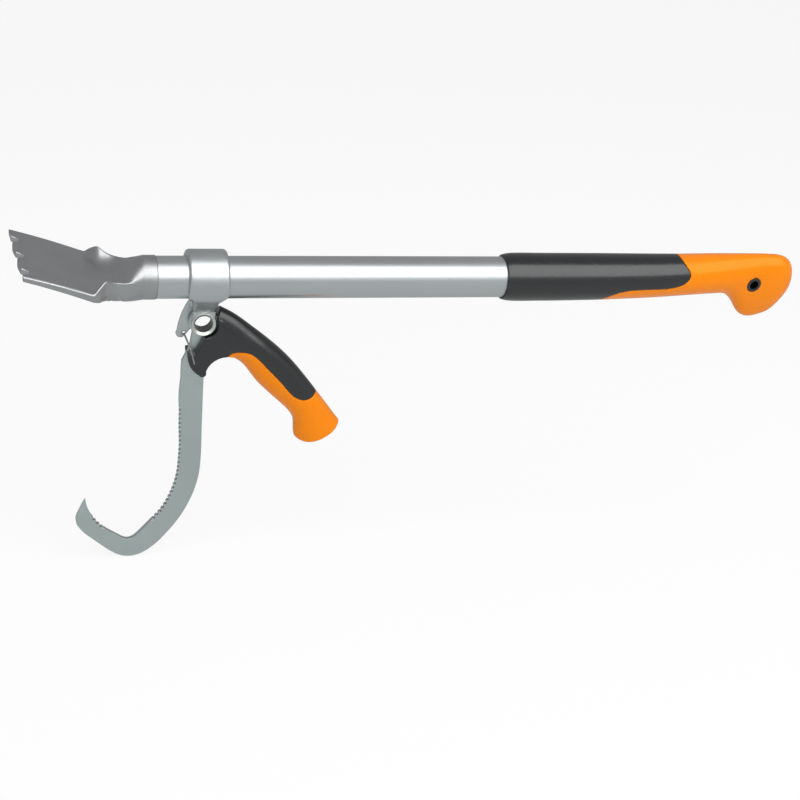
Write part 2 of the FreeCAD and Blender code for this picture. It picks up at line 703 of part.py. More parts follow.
def inner_arc_points(path, radius, turn, half):
    """Points one tooth apart along the inner edge of a bend; the path is walked on."""
    inner_length = (size(radius) - half) * math.radians(size(turn))
    count = max(1, round(inner_length / size("grip_tooth_pitch")))
    points = [path.edge(half)]
    for n in range(count):
        path.bend(size(radius), size(turn) / count)
        points.append(path.edge(half))
    return points


TANG_PINS = 2
# The tang's middle line, as a share of the handle's rise above the handle line.
TANG_LINE_SHARE = 0.46
# Neck between the eye and the shank: shares of the shank's drop, side to side and down.
NECK_EDGE_SHARES = [(-0.33, -0.775), (-0.21, -0.49), (-0.17, -0.15)]
NECK_BACK_SHARES = [(0.22, -0.10), (0.22, -0.56)]


def make_hook_bar():
    """Flat steel bar: eye, neck, toothed hook and the tang inside the handle."""
    body = new_body("hook_bar", True)
    offset = "-Sizes.bar_thick / 2"
    pad(body, "shank_pad", new_sketch(body, "shank_outline", "XZ_Plane", bar_outline(), offset),
        "Sizes.bar_thick")
    path = BarPath()
    half = size("bar_width") / 2
    drop = size("shank_drop")
    left = path.edge(half)
    right = path.edge(-half)
    path.run(half)
    neck = [right, path.edge(-half), path.edge(half), left]
    neck = neck + [V(a * drop, b * drop, 0) for a, b in NECK_EDGE_SHARES + NECK_BACK_SHARES]
    pad(body, "neck_pad", new_sketch(body, "neck_outline", "XZ_Plane", flat(neck), offset),
        "Sizes.bar_thick")
    eye = ring_sketch(body, "eye_disc", "XZ_Plane", ["Sizes.bar_eye_dia / 2"], offset)
    pad(body, "eye_pad", eye, "Sizes.bar_thick")
    tang = [handle_point(0, -1), handle_point(size("tang_length"), -1),
            handle_point(size("tang_length"), 1), handle_point(size("tang_setback"), 1)]
    pad(body, "tang_pad", new_sketch(body, "tang_outline", "XZ_Plane", flat(tang), offset),
        "Sizes.bar_thick")
    hole = ring_sketch(body, "eye_hole", "XZ_Plane",
                       ["Sizes.rivet_bore_dia / 2 + Sizes.rivet_wall + Sizes.run_gap"])
    pocket_through(body, "eye_cut", hole)
    for n in range(TANG_PINS):
        at = handle_xz(size("tang_pin_first") + n * size("tang_pin_pitch"),
                       TANG_LINE_SHARE * size("handle_rise"))
        pin_hole = ring_sketch(body, "tang_hole_%d" % n, "XZ_Plane",
                               ["Sizes.tang_pin_dia / 2 + Sizes.press_gap"], "0", at)
        pocket_through(body, "tang_hole_cut_%d" % n, pin_hole)
    return body


def handle_xz(along, across):
    """Place in the hook's plane from the handle's own line through the pivot."""
    slope = math.radians(size("handle_slope"))
    x = along * math.cos(slope) + across * math.sin(slope)
    z = -along * math.sin(slope) + across * math.cos(slope)
    return (x, z)


def handle_point(along, side):
    """Corner of the tang; side is -1 for its belly edge, 1 for its back edge."""
    across = TANG_LINE_SHARE * size("handle_rise") + side * size("tang_width") / 2
    at = handle_xz(along, across)
    return V(at[0], at[1], 0)


# Sections of the hook's handle: share of its length, back and belly edges as shares of
# its rise, and thickness as a share of the full thickness.
HANDLE_SHARES = [
    (-0.02, 0.52, -0.36, 0.74),
    (0.06, 0.66, -0.33, 0.83),
    (0.13, 0.745, -0.28, 0.89),
    (0.20, 0.81, -0.17, 0.94),
    (0.26, 0.865, -0.02, 0.96),
    (0.32, 0.915, 0.055, 0.97),
    (0.40, 0.968, 0.05, 0.97),
    (0.50, 1.002, 0.05, 0.96),
    (0.60, 1.002, 0.10, 0.95),
    (0.70, 0.988, 0.15, 0.95),
    (0.76, 0.976, 0.13, 0.96),
    (0.81, 0.967, 0.01, 0.97),
    (0.86, 0.956, -0.13, 0.98),
    (0.92, 0.944, -0.20, 0.98),
    (1.02, 0.925, -0.22, 0.96),
]
HANDLE_POINTS = 16


def handle_loft(sections, wall):
    """Rounded handle body along its own line, made smaller all round by a wall."""
    wires = []
    rise = size("handle_rise")
    for along, back, belly, thick in sections:
        middle = (back + belly) / 2 * rise
        reach = (back - belly) / 2 * rise - wall
        side = thick * size("handle_thick") / 2 - wall
        points = []
        for n in range(HANDLE_POINTS):
            turn = 2 * math.pi * n / HANDLE_POINTS
            at = handle_xz(along * size("handle_length"), middle + reach * math.cos(turn))
            points.append(V(at[0], side * math.sin(turn), at[1]))
        curve = Part.BSplineCurve()
        curve.interpolate(Points=points, PeriodicFlag=True)
        wires.append(Part.Wire([curve.toShape()]))
    return Part.makeLoft(wires, True, False)


# Lobe that wraps the bar below the pivot: shares of the shank's drop, from the handle's
# belly down to the lobe's tip, up its outer edge and back into the handle.
LOBE_BELLY_SHARES = [(0.56, -0.64), (0.235, -0.70), (0.088, -0.92)]
LOBE_TIP_SHARES = [(0.050, -1.02), (-0.030, -0.99)]
LOBE_BACK_SHARES = [(-0.17, -0.86), (-0.253, -0.585)]
LOBE_TOP_SHARES = [(-0.255, -0.42), (0.0, -0.10), (0.28, 0.10), (0.62, -0.20)]
# Front of the handle beside the pivot, cut away above this line. Its first two points take
# off the top corner, which passes under the collar when the hook swings out.
FACE_SHARES = [(0.60, 0.235), (0.289, 0.296), (0.189, -0.02), (0.10, -0.16), (0.035, -0.25),
               (-0.02, -0.345), (-0.10, -0.52), (-0.125, -0.56), (-0.31, -0.575)]
FACE_LEAN_SHARE = 0.2


def lobe_solid():
    drop = size("shank_drop")
    belly, tip, back, top = [[(a * drop, b * drop) for a, b in shares] for shares in (
        LOBE_BELLY_SHARES, LOBE_TIP_SHARES, LOBE_BACK_SHARES, LOBE_TOP_SHARES)]
    edges = [arc(belly[0], belly[1], belly[2]), arc(belly[2], tip[0], tip[1]),
             arc(tip[1], back[0], back[1]), line(back[1], top[0])]
    edges.extend(line(a, b) for a, b in zip(top, top[1:] + belly[:1]))
    half = size("lobe_thick") / 2
    return upright_prism(edges, -half, half)


def face_cutter():
    """Everything on the pivot's side of the handle's front face."""
    drop = size("shank_drop")
    wide = size("handle_length")
    points = [(a * drop, b * drop) for a, b in FACE_SHARES]
    first = points[0]
    last = points[-1]
    chain = points + [(-wide, last[1]), (-wide, wide), (first[0] + drop * FACE_LEAN_SHARE, wide)]
    half = size("handle_thick")
    return upright_prism(flat(chain), -half, half)


# The handle is hollow past the tang, up to this share of its length.
HOLLOW_END_SHARE = 0.83
# Edge of the handle's cut-off end, from the belly's side to the back, in the same shares.
BUTT_EDGE_SHARES = [(0.80, -0.40), (0.848, -0.20), (0.876, -0.12), (0.898, -0.06), (0.922, 0.06),
                    (0.938, 0.21), (0.951, 0.45), (0.957, 0.66), (0.955, 0.84), (0.925, 1.20)]


def hollow_sections():
    """The sections of HANDLE_SHARES that lie past the tang's end and before the hollow's."""
    first = (size("tang_length") + size("handle_wall")) / size("handle_length")
    return [row for row in HANDLE_SHARES if first < row[0] < HOLLOW_END_SHARE]


def butt_cutter():
    """Everything past the handle's end, outside the curve of its edge."""
    length = size("handle_length")
    rise = size("handle_rise")
    half = size("handle_thick")
    edge = [V(*handle_xz(a * length, b * rise), 0) for a, b in BUTT_EDGE_SHARES]
    curve = Part.BSplineCurve()
    curve.interpolate(edge)
    far_high = V(*handle_xz(2 * length, BUTT_EDGE_SHARES[-1][1] * rise), 0)
    far_low = V(*handle_xz(2 * length, BUTT_EDGE_SHARES[0][1] * rise), 0)
    edges = [curve, line(edge[-1], far_high), line(far_high, far_low), line(far_low, edge[0])]
    return upright_prism(edges, -half, half)


def handle_solid():
    body = handle_loft(HANDLE_SHARES, 0).fuse(lobe_solid())
    body = body.cut(handle_loft(hollow_sections(), size("handle_wall")))
    body = body.cut(face_cutter()).cut(butt_cutter())
    relief = y_cylinder(size("pivot_relief_dia") / 2, 2 * size("handle_thick"), (0, 0))
    return body.cut(relief)


def bar_slot():
    """Room for the bar, its tang and its eye inside the handle."""
    bar = doc.getObject("hook_bar").Shape.copy()
    bar.Placement = FreeCAD.Placement()
    return bar


# Line between the soft cover and the hard body of the hook's handle, from the belly near
# the lobe to the back, as shares of the handle's length and rise.
COVER_EDGE_SHARES = [(0.31, -1.2), (0.262, -0.45), (0.222, -0.06), (0.224, 0.12), (0.240, 0.25),
                     (0.272, 0.38), (0.315, 0.446), (0.40, 0.474), (0.484, 0.497), (0.557, 0.504),
                     (0.61, 0.505), (0.656, 0.55), (0.697, 0.695), (0.712, 0.86), (0.712, 1.3)]
# How far above and below the handle line the cover's region runs, as a share of its rise.
COVER_CLEAR_SHARE = 3


def cover_prism():
    """Side outline of the soft cover's region of the handle."""
    length = size("handle_length")
    rise = size("handle_rise")
    half = size("handle_thick")
    edge = [V(*handle_xz(a * length, b * rise), 0) for a, b in COVER_EDGE_SHARES]
    curve = Part.BSplineCurve()
    curve.interpolate(edge)
    over = COVER_CLEAR_SHARE * rise
    back = V(*handle_xz(-length, over), 0)
    low = V(*handle_xz(-length, -over), 0)
    under = V(*handle_xz(COVER_EDGE_SHARES[0][0] * length, -over), 0)
    top = V(*handle_xz(COVER_EDGE_SHARES[-1][0] * length, over), 0)
    edges = [curve, line(edge[-1], top), line(top, back), line(back, low), line(low, under),
             line(under, edge[0])]
    return upright_prism(edges, -half, half)


def make_hook_handle():
    """The handle's hard body and the soft cover over its pivot end."""
    whole = handle_solid()
    slot = bar_slot()
    region = cover_prism()
    cover = whole.common(region).cut(slot)
    body = whole.cut(region).cut(slot)
    for n in range(TANG_PINS):
        at = handle_xz(size("tang_pin_first") + n * size("tang_pin_pitch"),
                       TANG_LINE_SHARE * size("handle_rise"))
        hole = y_cylinder(size("tang_pin_dia") / 2 + size("press_gap"), size("tang_pin_length"), at)
        cover = cover.cut(hole)
        body = body.cut(hole)
    place = FreeCAD.Placement(PIVOT, FreeCAD.Rotation())
    return [shape_piece("hook_handle_body", body, place), shape_piece("hook_handle_cover", cover, place)]


def make_tang_pins():
    """Two pins through the tang, moulded into the handle."""
    pins = []
    for n in range(TANG_PINS):
        at = handle_xz(size("tang_pin_first") + n * size("tang_pin_pitch"),
                       TANG_LINE_SHARE * size("handle_rise"))
        pins.append(y_cylinder(size("tang_pin_dia") / 2, size("tang_pin_length"), at))
    return shape_piece("tang_pins", Part.makeCompound(pins), FreeCAD.Placement(PIVOT, FreeCAD.Rotation()))


# Latch wire from its socket in the lobe: shares of the latch hole's reach and drop.
WIRE_ROOT_SHARE = (0.446, 2.77)
WIRE_KNEE_SHARE = (0.717, 1.66)


def wire_points():
    """Root at the lobe's near face, knee past the bar's edge, tip before the tongue."""
    reach = size("latch_reach")
    drop = size("latch_drop")
    radius = size("wire_dia") / 2
    side = -size("lobe_thick") / 2 - radius - size("face_gap")
    leg_face = size("bar_thick") / 2 + size("washer_thick") + 2 * size("face_gap")
    root = V(-WIRE_ROOT_SHARE[0] * reach, side, -WIRE_ROOT_SHARE[1] * drop)
    knee = V(-WIRE_KNEE_SHARE[0] * reach, side, -WIRE_KNEE_SHARE[1] * drop)
    tip = V(-reach, leg_face - radius - size("safe_gap"), -drop)
    return root, knee, tip


def make_wire():
    """Springy latch wire that holds the hook's rest position at the stop tongue."""
    root, knee, tip = wire_points()
    radius = size("wire_dia") / 2
    lower = Part.makeCylinder(radius, (knee - root).Length, root, knee - root)
    upper = Part.makeCylinder(radius, (tip - knee).Length, knee, tip - knee)
    wire = lower.fuse(upper).fuse(Part.makeSphere(radius, knee)).fuse(Part.makeSphere(radius, root))
    wire = wire.fuse(Part.makeSphere(radius, tip))
    return shape_piece("latch_wire", wire, FreeCAD.Placement(PIVOT, FreeCAD.Rotation()))


# Sections of the lever's grip: share of the way from the cover's front to the butt, top,
# level of the widest place, and underside as shares of half the grip's diameter, then the
# half thickness as a share of the same.
GRIP_SHARES = [
    (0.000, 0.925, 0.00, -0.925, 0.925),
    (0.012, 0.962, 0.00, -0.962, 0.962),
    (0.045, 1.000, 0.00, -1.000, 1.000),
    (0.11, 0.998, 0.00, -1.000, 0.998),
    (0.18, 0.996, 0.00, -0.998, 0.995),
    (0.25, 0.995, 0.01, -0.985, 0.99),
    (0.32, 0.994, 0.02, -0.970, 0.985),
    (0.39, 0.990, 0.04, -0.943, 0.97),
    (0.46, 0.986, 0.06, -0.910, 0.95),
    (0.53, 0.985, 0.085, -0.868, 0.918),
    (0.60, 0.993, 0.11, -0.815, 0.872),
    (0.66, 1.015, 0.12, -0.765, 0.83),
    (0.70, 1.030, 0.127, -0.738, 0.79),
    (0.735, 1.042, 0.13, -0.720, 0.75),
    (0.765, 1.050, 0.13, -0.740, 0.71),
    (0.790, 1.056, 0.13, -0.930, 0.67),
    (0.812, 1.060, 0.13, -1.250, 0.64),
    (0.832, 1.063, 0.12, -1.600, 0.61),
    (0.855, 1.065, 0.11, -1.820, 0.58),
    (0.885, 1.065, 0.10, -1.880, 0.55),
    (0.915, 1.055, 0.08, -1.780, 0.53),
    (0.940, 1.030, 0.06, -1.640, 0.51),
    (0.962, 0.950, 0.02, -1.350, 0.47),
    (0.982, 0.760, -0.04, -0.950, 0.39),
    (0.995, 0.450, -0.08, -0.580, 0.25),
    (1.000, 0.180, -0.10, -0.340, 0.10),
]
GRIP_POINTS = 20
# The half thickness share at which the butt's own thickness takes over.
BUTT_SHARE = 0.525
# The underside share at which the butt's hook is lowest.
GRIP_LIP_SHARE = 1.88


def grip_half(share):
    """Half thickness of the grip; towards the butt it follows the butt's own thickness."""
    full = GRIP_DIA / 2
    thin = size("butt_thick") / 2
    if share > BUTT_SHARE:
        return share * full
    return share / BUTT_SHARE * thin


def grip_loft():
    """The grip's outer form: round at the tube, with a hooked butt that thins out."""
    half = GRIP_DIA / 2
    length = size("grip_front") + size("grip_back")
    lip_scale = size("lip_drop") / (half * GRIP_LIP_SHARE)
    wires = []
    for along, top, widest, under, side in GRIP_SHARES:
        x = along * length - size("grip_front")
        top_z = top * half
        wide_z = widest * half
        under_z = under * half
        if -under > 1:
            under_z = -half - (-under - 1) * half * lip_scale
        side_y = grip_half(side)
        if along == 0:
            top_z = NOSE_DIA / 2
            under_z = -top_z
            side_y = top_z
        points = []
        for n in range(GRIP_POINTS):
            turn = 2 * math.pi * n / GRIP_POINTS
            reach = top_z - wide_z if math.cos(turn) > 0 else wide_z - under_z
            points.append(V(x, side_y * math.sin(turn), wide_z + reach * math.cos(turn)))
        curve = Part.BSplineCurve()
        curve.interpolate(Points=points, PeriodicFlag=True)
        wires.append(Part.Wire([curve.toShape()]))
    return Part.makeLoft(wires, True, False)


# Line between the lever grip's soft cover and its hard body: shares of the way from the
# cover's front to the butt and of half the grip's diameter, from the underside to the top.
GRIP_EDGE_SHARES = [(0.305, -1.40), (0.33, -0.80), (0.36, -0.46), (0.40, -0.27), (0.46, -0.20),
                    (0.54, -0.17), (0.58, -0.06), (0.605, 0.16), (0.612, 0.42), (0.60, 0.72),
                    (0.585, 1.02), (0.575, 1.40)]


def grip_cover_prism():
    half = GRIP_DIA / 2
    length = size("grip_front") + size("grip_back")
    edge = [V(a * length - size("grip_front"), b * half, 0) for a, b in GRIP_EDGE_SHARES]
    curve = Part.BSplineCurve()
    curve.interpolate(edge)
    front = -size("grip_front") - OVER
    top = edge[-1].y
    low = edge[0].y
    edges = [curve, line(edge[-1], (front, top)), line((front, top), (front, low)),
             line((front, low), edge[0])]
    return upright_prism(edges, -GRIP_DIA, GRIP_DIA)


def make_lever_grip():
    """Hard body with a thin sleeve over the tube, the soft cover and the hang hole."""
    whole = grip_loft()
    region = grip_cover_prism()
    tube_length = size("grip_front") + size("tube_back") + size("plug_flange")
    sleeve_r = TUBE_R + size("cover_thick")
    start = -size("grip_front")
    set_back = size("cover_thick")
    sleeve = x_cylinder(sleeve_r, start + set_back, tube_length - set_back)
    bore = x_cylinder(TUBE_R, start - OVER, tube_length + OVER)
    cover = whole.common(region).cut(sleeve).cut(bore)
    body = whole.cut(region).fuse(sleeve.common(whole)).cut(bore)
    hole = y_cylinder(size("liner_dia") / 2, GRIP_DIA, (size("hang_back"), -size("hang_drop")))
    body = body.cut(hole)
    return [shape_piece("lever_grip_body", body), shape_piece("lever_grip_cover", cover)]


def make_liner():
    """Dark liner of the hang hole, narrow in its middle and wide at both mouths."""
    at = (size("hang_back"), -size("hang_drop"))
    outer = y_cylinder(size("liner_dia") / 2, GRIP_DIA, at)
    liner = outer.common(grip_loft())
    waist = size("hang_waist") / 2
    small = size("hang_hole_dia") / 2
    mouth = size("liner_mouth_dia") / 2
    depth = size("butt_thick") / 2 - waist
    bore = y_cylinder(small, GRIP_DIA, at)
    near = Part.makeCone(small, mouth, depth, V(at[0], -waist, at[1]), V(0, -1, 0))
    far = Part.makeCone(small, mouth, depth, V(at[0], waist, at[1]), V(0, 1, 0))
    return shape_piece("hang_hole_liner", liner.cut(bore).cut(near).cut(far))


pieces = [make_tube(), make_tube_plug(), make_head(), make_head_pin(), make_bracket(), make_rivet(),
          make_washer("pivot_washer_near", -1), make_washer("pivot_washer_far", 1), make_hook_bar()]
pieces.extend(make_hook_handle())
pieces.append(make_tang_pins())
pieces.append(make_wire())
pieces.extend(make_lever_grip())
pieces.append(make_liner())

doc.recompute()
for item in doc.Objects:
    if "Invalid" in item.State or "Error" in item.State:
        raise RuntimeError(item.Label + " failed: " + ", ".join(item.State))
os.makedirs("parts", exist_ok=True)
for piece in pieces:
    shape = piece.Shape
    if shape.isNull() or not shape.isValid():
        raise RuntimeError(piece.Label + " has no valid shape")
    shape.exportStep("parts/" + piece.Label + ".step")
    box = shape.BoundBox
    print("%-20s %2d solid(s) %9.0f mm3  x %.1f %.1f  y %.1f %.1f  z %.1f %.1f" % (
        piece.Label, len(shape.Solids), shape.Volume, box.XMin, box.XMax, box.YMin, box.YMax,
        box.ZMin, box.ZMax))
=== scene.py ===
"""Looks of a felling lever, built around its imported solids.

Metres, in the solids' own frame: +X along the tube towards the butt, +Y away from the
near side of the hook, +Z up. The origin is on the tube's axis, in the middle of the grip.
The tables of the head, the rivet and the bar are in millimetres.
"""

import math

import bmesh
import bpy
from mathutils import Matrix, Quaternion, Vector


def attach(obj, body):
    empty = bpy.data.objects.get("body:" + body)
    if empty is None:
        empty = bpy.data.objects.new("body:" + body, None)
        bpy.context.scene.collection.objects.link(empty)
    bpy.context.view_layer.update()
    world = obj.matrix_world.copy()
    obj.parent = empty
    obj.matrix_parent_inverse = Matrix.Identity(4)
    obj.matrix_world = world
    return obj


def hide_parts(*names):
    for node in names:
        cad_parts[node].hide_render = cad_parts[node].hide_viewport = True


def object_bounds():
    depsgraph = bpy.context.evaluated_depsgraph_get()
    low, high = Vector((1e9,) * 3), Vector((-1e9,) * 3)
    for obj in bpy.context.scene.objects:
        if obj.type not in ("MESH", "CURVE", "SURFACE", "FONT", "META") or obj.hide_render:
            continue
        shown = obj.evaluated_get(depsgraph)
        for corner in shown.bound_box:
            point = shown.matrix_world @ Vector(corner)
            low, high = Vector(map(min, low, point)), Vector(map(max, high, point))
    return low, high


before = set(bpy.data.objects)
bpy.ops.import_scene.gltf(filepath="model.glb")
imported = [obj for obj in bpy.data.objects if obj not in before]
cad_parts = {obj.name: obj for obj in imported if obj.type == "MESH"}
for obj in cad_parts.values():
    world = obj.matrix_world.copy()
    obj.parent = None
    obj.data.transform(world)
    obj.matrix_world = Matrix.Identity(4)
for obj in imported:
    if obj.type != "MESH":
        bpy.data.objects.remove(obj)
CAD_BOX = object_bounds()
MM = 0.001
FULL_TURN = 2 * math.pi
QUARTER_TURN = math.pi / 2
scene = bpy.context.scene
scene.view_settings.view_transform = "Standard"


# Camera

CAMERA_PLACE = Vector((-0.6580, -1.3837, 0.6590))
CAMERA_TURN = math.radians(18.77)
CAMERA_DIP = math.radians(28.58)
CAMERA_ROLL = math.radians(7.9)
CAMERA_LENS = 74.25
SENSOR_WIDTH = 36.0
CAMERA_REACH = 100.0


def make_camera():
    """The photograph's view: from the front left, above, with a slight roll."""
    data = bpy.data.cameras.new("camera")
    data.lens = CAMERA_LENS
    data.sensor_width = SENSOR_WIDTH
    data.clip_end = CAMERA_REACH
    camera = bpy.data.objects.new("camera", data)
    scene.collection.objects.link(camera)
    level = math.cos(CAMERA_DIP)
    ahead = Vector((math.sin(CAMERA_TURN) * level, math.cos(CAMERA_TURN) * level,
                    -math.sin(CAMERA_DIP)))
    camera.location = CAMERA_PLACE
    camera.rotation_mode = "QUATERNION"
    roll = Quaternion((0, 0, 1), CAMERA_ROLL)
    camera.rotation_quaternion = ahead.to_track_quat("-Z", "Y") @ roll
    scene.camera = camera


# Node helpers

# Places of the two colours among the inputs of a colour mix, and of its colour output.
MIX_COLOURS = (6, 7)
MIX_RESULT = 2


def grey(level):
    return (level, level, level, 1)


def node(tree, kind, **settings):
    made = tree.nodes.new(kind)
    for name, value in settings.items():
        setattr(made, name, value)
    return made


def feed(tree, target, value):
    """Set a socket: by a link from another socket, or to a plain value."""
    if isinstance(value, bpy.types.NodeSocket):
        tree.links.new(value, target)
    else:
        target.default_value = value


def math_node(tree, operation, first, second, **settings):
    """A sum, product or the like of sockets and plain numbers."""
    made = node(tree, "ShaderNodeMath", operation=operation, **settings)
    feed(tree, made.inputs[0], first)
    feed(tree, made.inputs[1], second)
    return made.outputs[0]


def vector_node(tree, operation, first, second=None):
    """The same for vectors; the node itself comes back, as its outputs differ."""
    made = node(tree, "ShaderNodeVectorMath", operation=operation)
    feed(tree, made.inputs[0], first)
    if second is not None:
        feed(tree, made.inputs[1], second)
    return made


def mapped(tree, value, lows, highs=(0.0, 1.0)):
    """The value carried from one range to another, and held at its ends."""
    made = node(tree, "ShaderNodeMapRange")
    feed(tree, made.inputs["Value"], value)
    for name, number in zip(("From Min", "From Max", "To Min", "To Max"), lows + highs):
        feed(tree, made.inputs[name], number)
    return made.outputs[0]


def colour_mix(tree, factor, first, second):
    made = node(tree, "ShaderNodeMix", data_type="RGBA")
    feed(tree, made.inputs["Factor"], factor)
    for place, value in zip(MIX_COLOURS, (first, second)):
        feed(tree, made.inputs[place], value)
    return made.outputs[MIX_RESULT]


def shader_mix(tree, factor, first, second):
    made = node(tree, "ShaderNodeMixShader")
    for target, value in zip(made.inputs, (factor, first, second)):
        feed(tree, target, value)
    return made.outputs[0]


def glow(tree, kind, colour, strength=1.0):
    """A background or an emission of this colour."""
    made = node(tree, kind)
    feed(tree, made.inputs["Strength"], strength)
    feed(tree, made.inputs["Color"], colour)
    return made.outputs[0]


def noise(tree, place, scale, detail, roughness=0.5):
    made = node(tree, "ShaderNodeTexNoise")
    for name, value in (("Vector", place), ("Scale", scale), ("Detail", detail),
                        ("Roughness", roughness)):
        feed(tree, made.inputs[name], value)
    return made.outputs[0]


# Room and light

FLOOR_DROP = 1.5 * MM
FLOOR_SIZE = 30.0
FLOOR_COLOUR = grey(0.88)
# Share of the floor that shines by itself, in view and in mirrors; the rest takes shadows.
FLOOR_SELF_SHARE = 0.86
ROOM_LIGHT = 0.38
# What polished surfaces mirror: paler in front of the object than behind it.
MIRROR_FRONT = (0.62, 0.665, 0.665, 1)
MIRROR_BACK = (0.40, 0.405, 0.41, 1)
# Where the one goes over into the other: by direction in the room, by place on the floor.
ROOM_TURN = (-0.35, 0.35)
FLOOR_TURN = (-0.05, 0.5)
# One long strip softbox, which draws the bright band along the tube and the grips.
STRIP_PLACE = Vector((0.25, -0.95, 1.295))
STRIP_TARGET = Vector((0.25, 0.0, 0.0))
STRIP_WIDTH = 3.6
STRIP_DEPTH = 1.8
STRIP_WATTS = 44.0


def mirrored_glow(tree, kind, coordinates, turn):
    """The pale and the darker grey that mirrors see, one behind the other."""
    way = node(tree, "ShaderNodeSeparateXYZ")
    feed(tree, way.inputs[0], node(tree, "ShaderNodeTexCoord").outputs[coordinates])
    behind = mapped(tree, way.outputs["Y"], turn)
    return glow(tree, kind, colour_mix(tree, behind, MIRROR_FRONT, MIRROR_BACK))


def make_world():
    """White surroundings to the eye, soft light on the object, calmer ones for mirrors."""
    world = bpy.data.worlds.new("studio")
    world.use_nodes = True
    tree = world.node_tree
    tree.nodes.clear()
    path = node(tree, "ShaderNodeLightPath")
    mirrored = mirrored_glow(tree, "ShaderNodeBackground", "Generated", ROOM_TURN)
    white = glow(tree, "ShaderNodeBackground", grey(1.0))
    plain = glow(tree, "ShaderNodeBackground", grey(1.0), ROOM_LIGHT)
    lit = shader_mix(tree, path.outputs["Is Glossy Ray"], plain, mirrored)
    seen = shader_mix(tree, path.outputs["Is Camera Ray"], lit, white)
    feed(tree, node(tree, "ShaderNodeOutputWorld").inputs["Surface"], seen)
    scene.world = world


def floor_material():
    """Matte white that mostly shines by itself, so that only shadows are seen on it."""
    material = bpy.data.materials.new("pale_floor")
    material.use_nodes = True
    tree = material.node_tree
    tree.nodes.clear()
    path = node(tree, "ShaderNodeLightPath")
    matte = node(tree, "ShaderNodeBsdfDiffuse")
    feed(tree, matte.inputs["Color"], FLOOR_COLOUR)
    mirrored = mirrored_glow(tree, "ShaderNodeEmission", "Object", FLOOR_TURN)
    white = glow(tree, "ShaderNodeEmission", grey(1.0))
    in_mirrors = math_node(tree, "MULTIPLY", path.outputs["Is Glossy Ray"], FLOOR_SELF_SHARE)
    in_view = math_node(tree, "MULTIPLY", path.outputs["Is Camera Ray"], FLOOR_SELF_SHARE)
    lit = shader_mix(tree, in_mirrors, matte.outputs[0], mirrored)
    seen = shader_mix(tree, in_view, lit, white)
    feed(tree, node(tree, "ShaderNodeOutputMaterial").inputs["Surface"], seen)
    return material


def make_floor():
    """Pale floor just under the hook."""
    mesh = bpy.data.meshes.new("floor")
    half = FLOOR_SIZE / 2
    low = CAD_BOX[0].z - FLOOR_DROP
    corners = [(-half, -half, low), (half, -half, low), (half, half, low), (-half, half, low)]
    mesh.from_pydata(corners, [], [(0, 1, 2, 3)])
    mesh.materials.append(floor_material())
    floor = bpy.data.objects.new("floor", mesh)
    scene.collection.objects.link(floor)


def make_lamp():
    data = bpy.data.lights.new("strip", "AREA")
    data.shape = "RECTANGLE"
    data.size = STRIP_WIDTH
    data.size_y = STRIP_DEPTH
    data.energy = STRIP_WATTS
    lamp = bpy.data.objects.new("strip", data)
    scene.collection.objects.link(lamp)
    lamp.location = STRIP_PLACE
    lamp.rotation_mode = "QUATERNION"
    lamp.rotation_quaternion = (STRIP_TARGET - STRIP_PLACE).to_track_quat("-Z", "Y")


# Shared effects

CLOUD_DETAIL = 5.0
CLOUD_ROUGHNESS = 0.6
NOISE_SPAN = (0.3, 0.7)
FINE_DETAIL = 3.0
COARSE_DETAIL = 2.0
COARSE_SHARE = 0.12
# These set the highlight that is painted along the outer edges of metal pieces.
EDGE_GLINT_WIDTH = 0.8 * MM
EDGE_GLINT_SAMPLES = 6
# How far the rounded normal leaves the flat one, as a cosine, where the painted edge highlight
# starts and is full.
EDGE_GLINT_SPAN = (0.995, 0.85)
EDGE_GLINT_SCALE = 160.0
EDGE_GLINT_DETAIL = 4.0
EDGE_GLINT_BREAKS = (0.35, 0.65)
SOCKET_KINDS = {"Vector": "NodeSocketVector", "Color": "NodeSocketColor",
                "Dark": "NodeSocketColor", "Light": "NodeSocketColor"}


def new_group(name, inputs, outputs):
    """An empty group with these sockets, and its two ends."""
    group = bpy.data.node_groups.new(name, "ShaderNodeTree")
    for labels, side in ((inputs, "INPUT"), (outputs, "OUTPUT")):
        for label in labels:
            kind = SOCKET_KINDS.get(label, "NodeSocketFloat")
            group.interface.new_socket(label, in_out=side, socket_type=kind)
    inside, out = node(group, "NodeGroupInput"), node(group, "NodeGroupOutput")
    return group, inside.outputs, out.inputs


def cloudy_group():
    """Slow change of a colour over the surface, such as a cast or coated face has."""
    group, given, out = new_group("cloudy_tone", ("Vector", "Scale", "Dark", "Light"), ("Color",))
    clouds = noise(group, given["Vector"], given["Scale"], CLOUD_DETAIL, CLOUD_ROUGHNESS)
    mask = mapped(group, clouds, NOISE_SPAN)
    feed(group, out["Color"], colour_mix(group, mask, given["Dark"], given["Light"]))
    return group


def grain_group():
    """Fine grain in two sizes: a height for a bump and a value for roughness."""
    group, given, out = new_group("fine_grain", ("Vector", "Scale", "Smoothest", "Roughest"),
                                  ("Height", "Roughness"))
    fine = noise(group, given["Vector"], given["Scale"], FINE_DETAIL)
    wide = math_node(group, "MULTIPLY", given["Scale"], COARSE_SHARE)
    coarse = noise(group, given["Vector"], wide, COARSE_DETAIL)
    limits = (given["Smoothest"], given["Roughest"])
    feed(group, out["Height"], math_node(group, "ADD", fine, coarse))
    feed(group, out["Roughness"], mapped(group, coarse, NOISE_SPAN, limits))
    return group


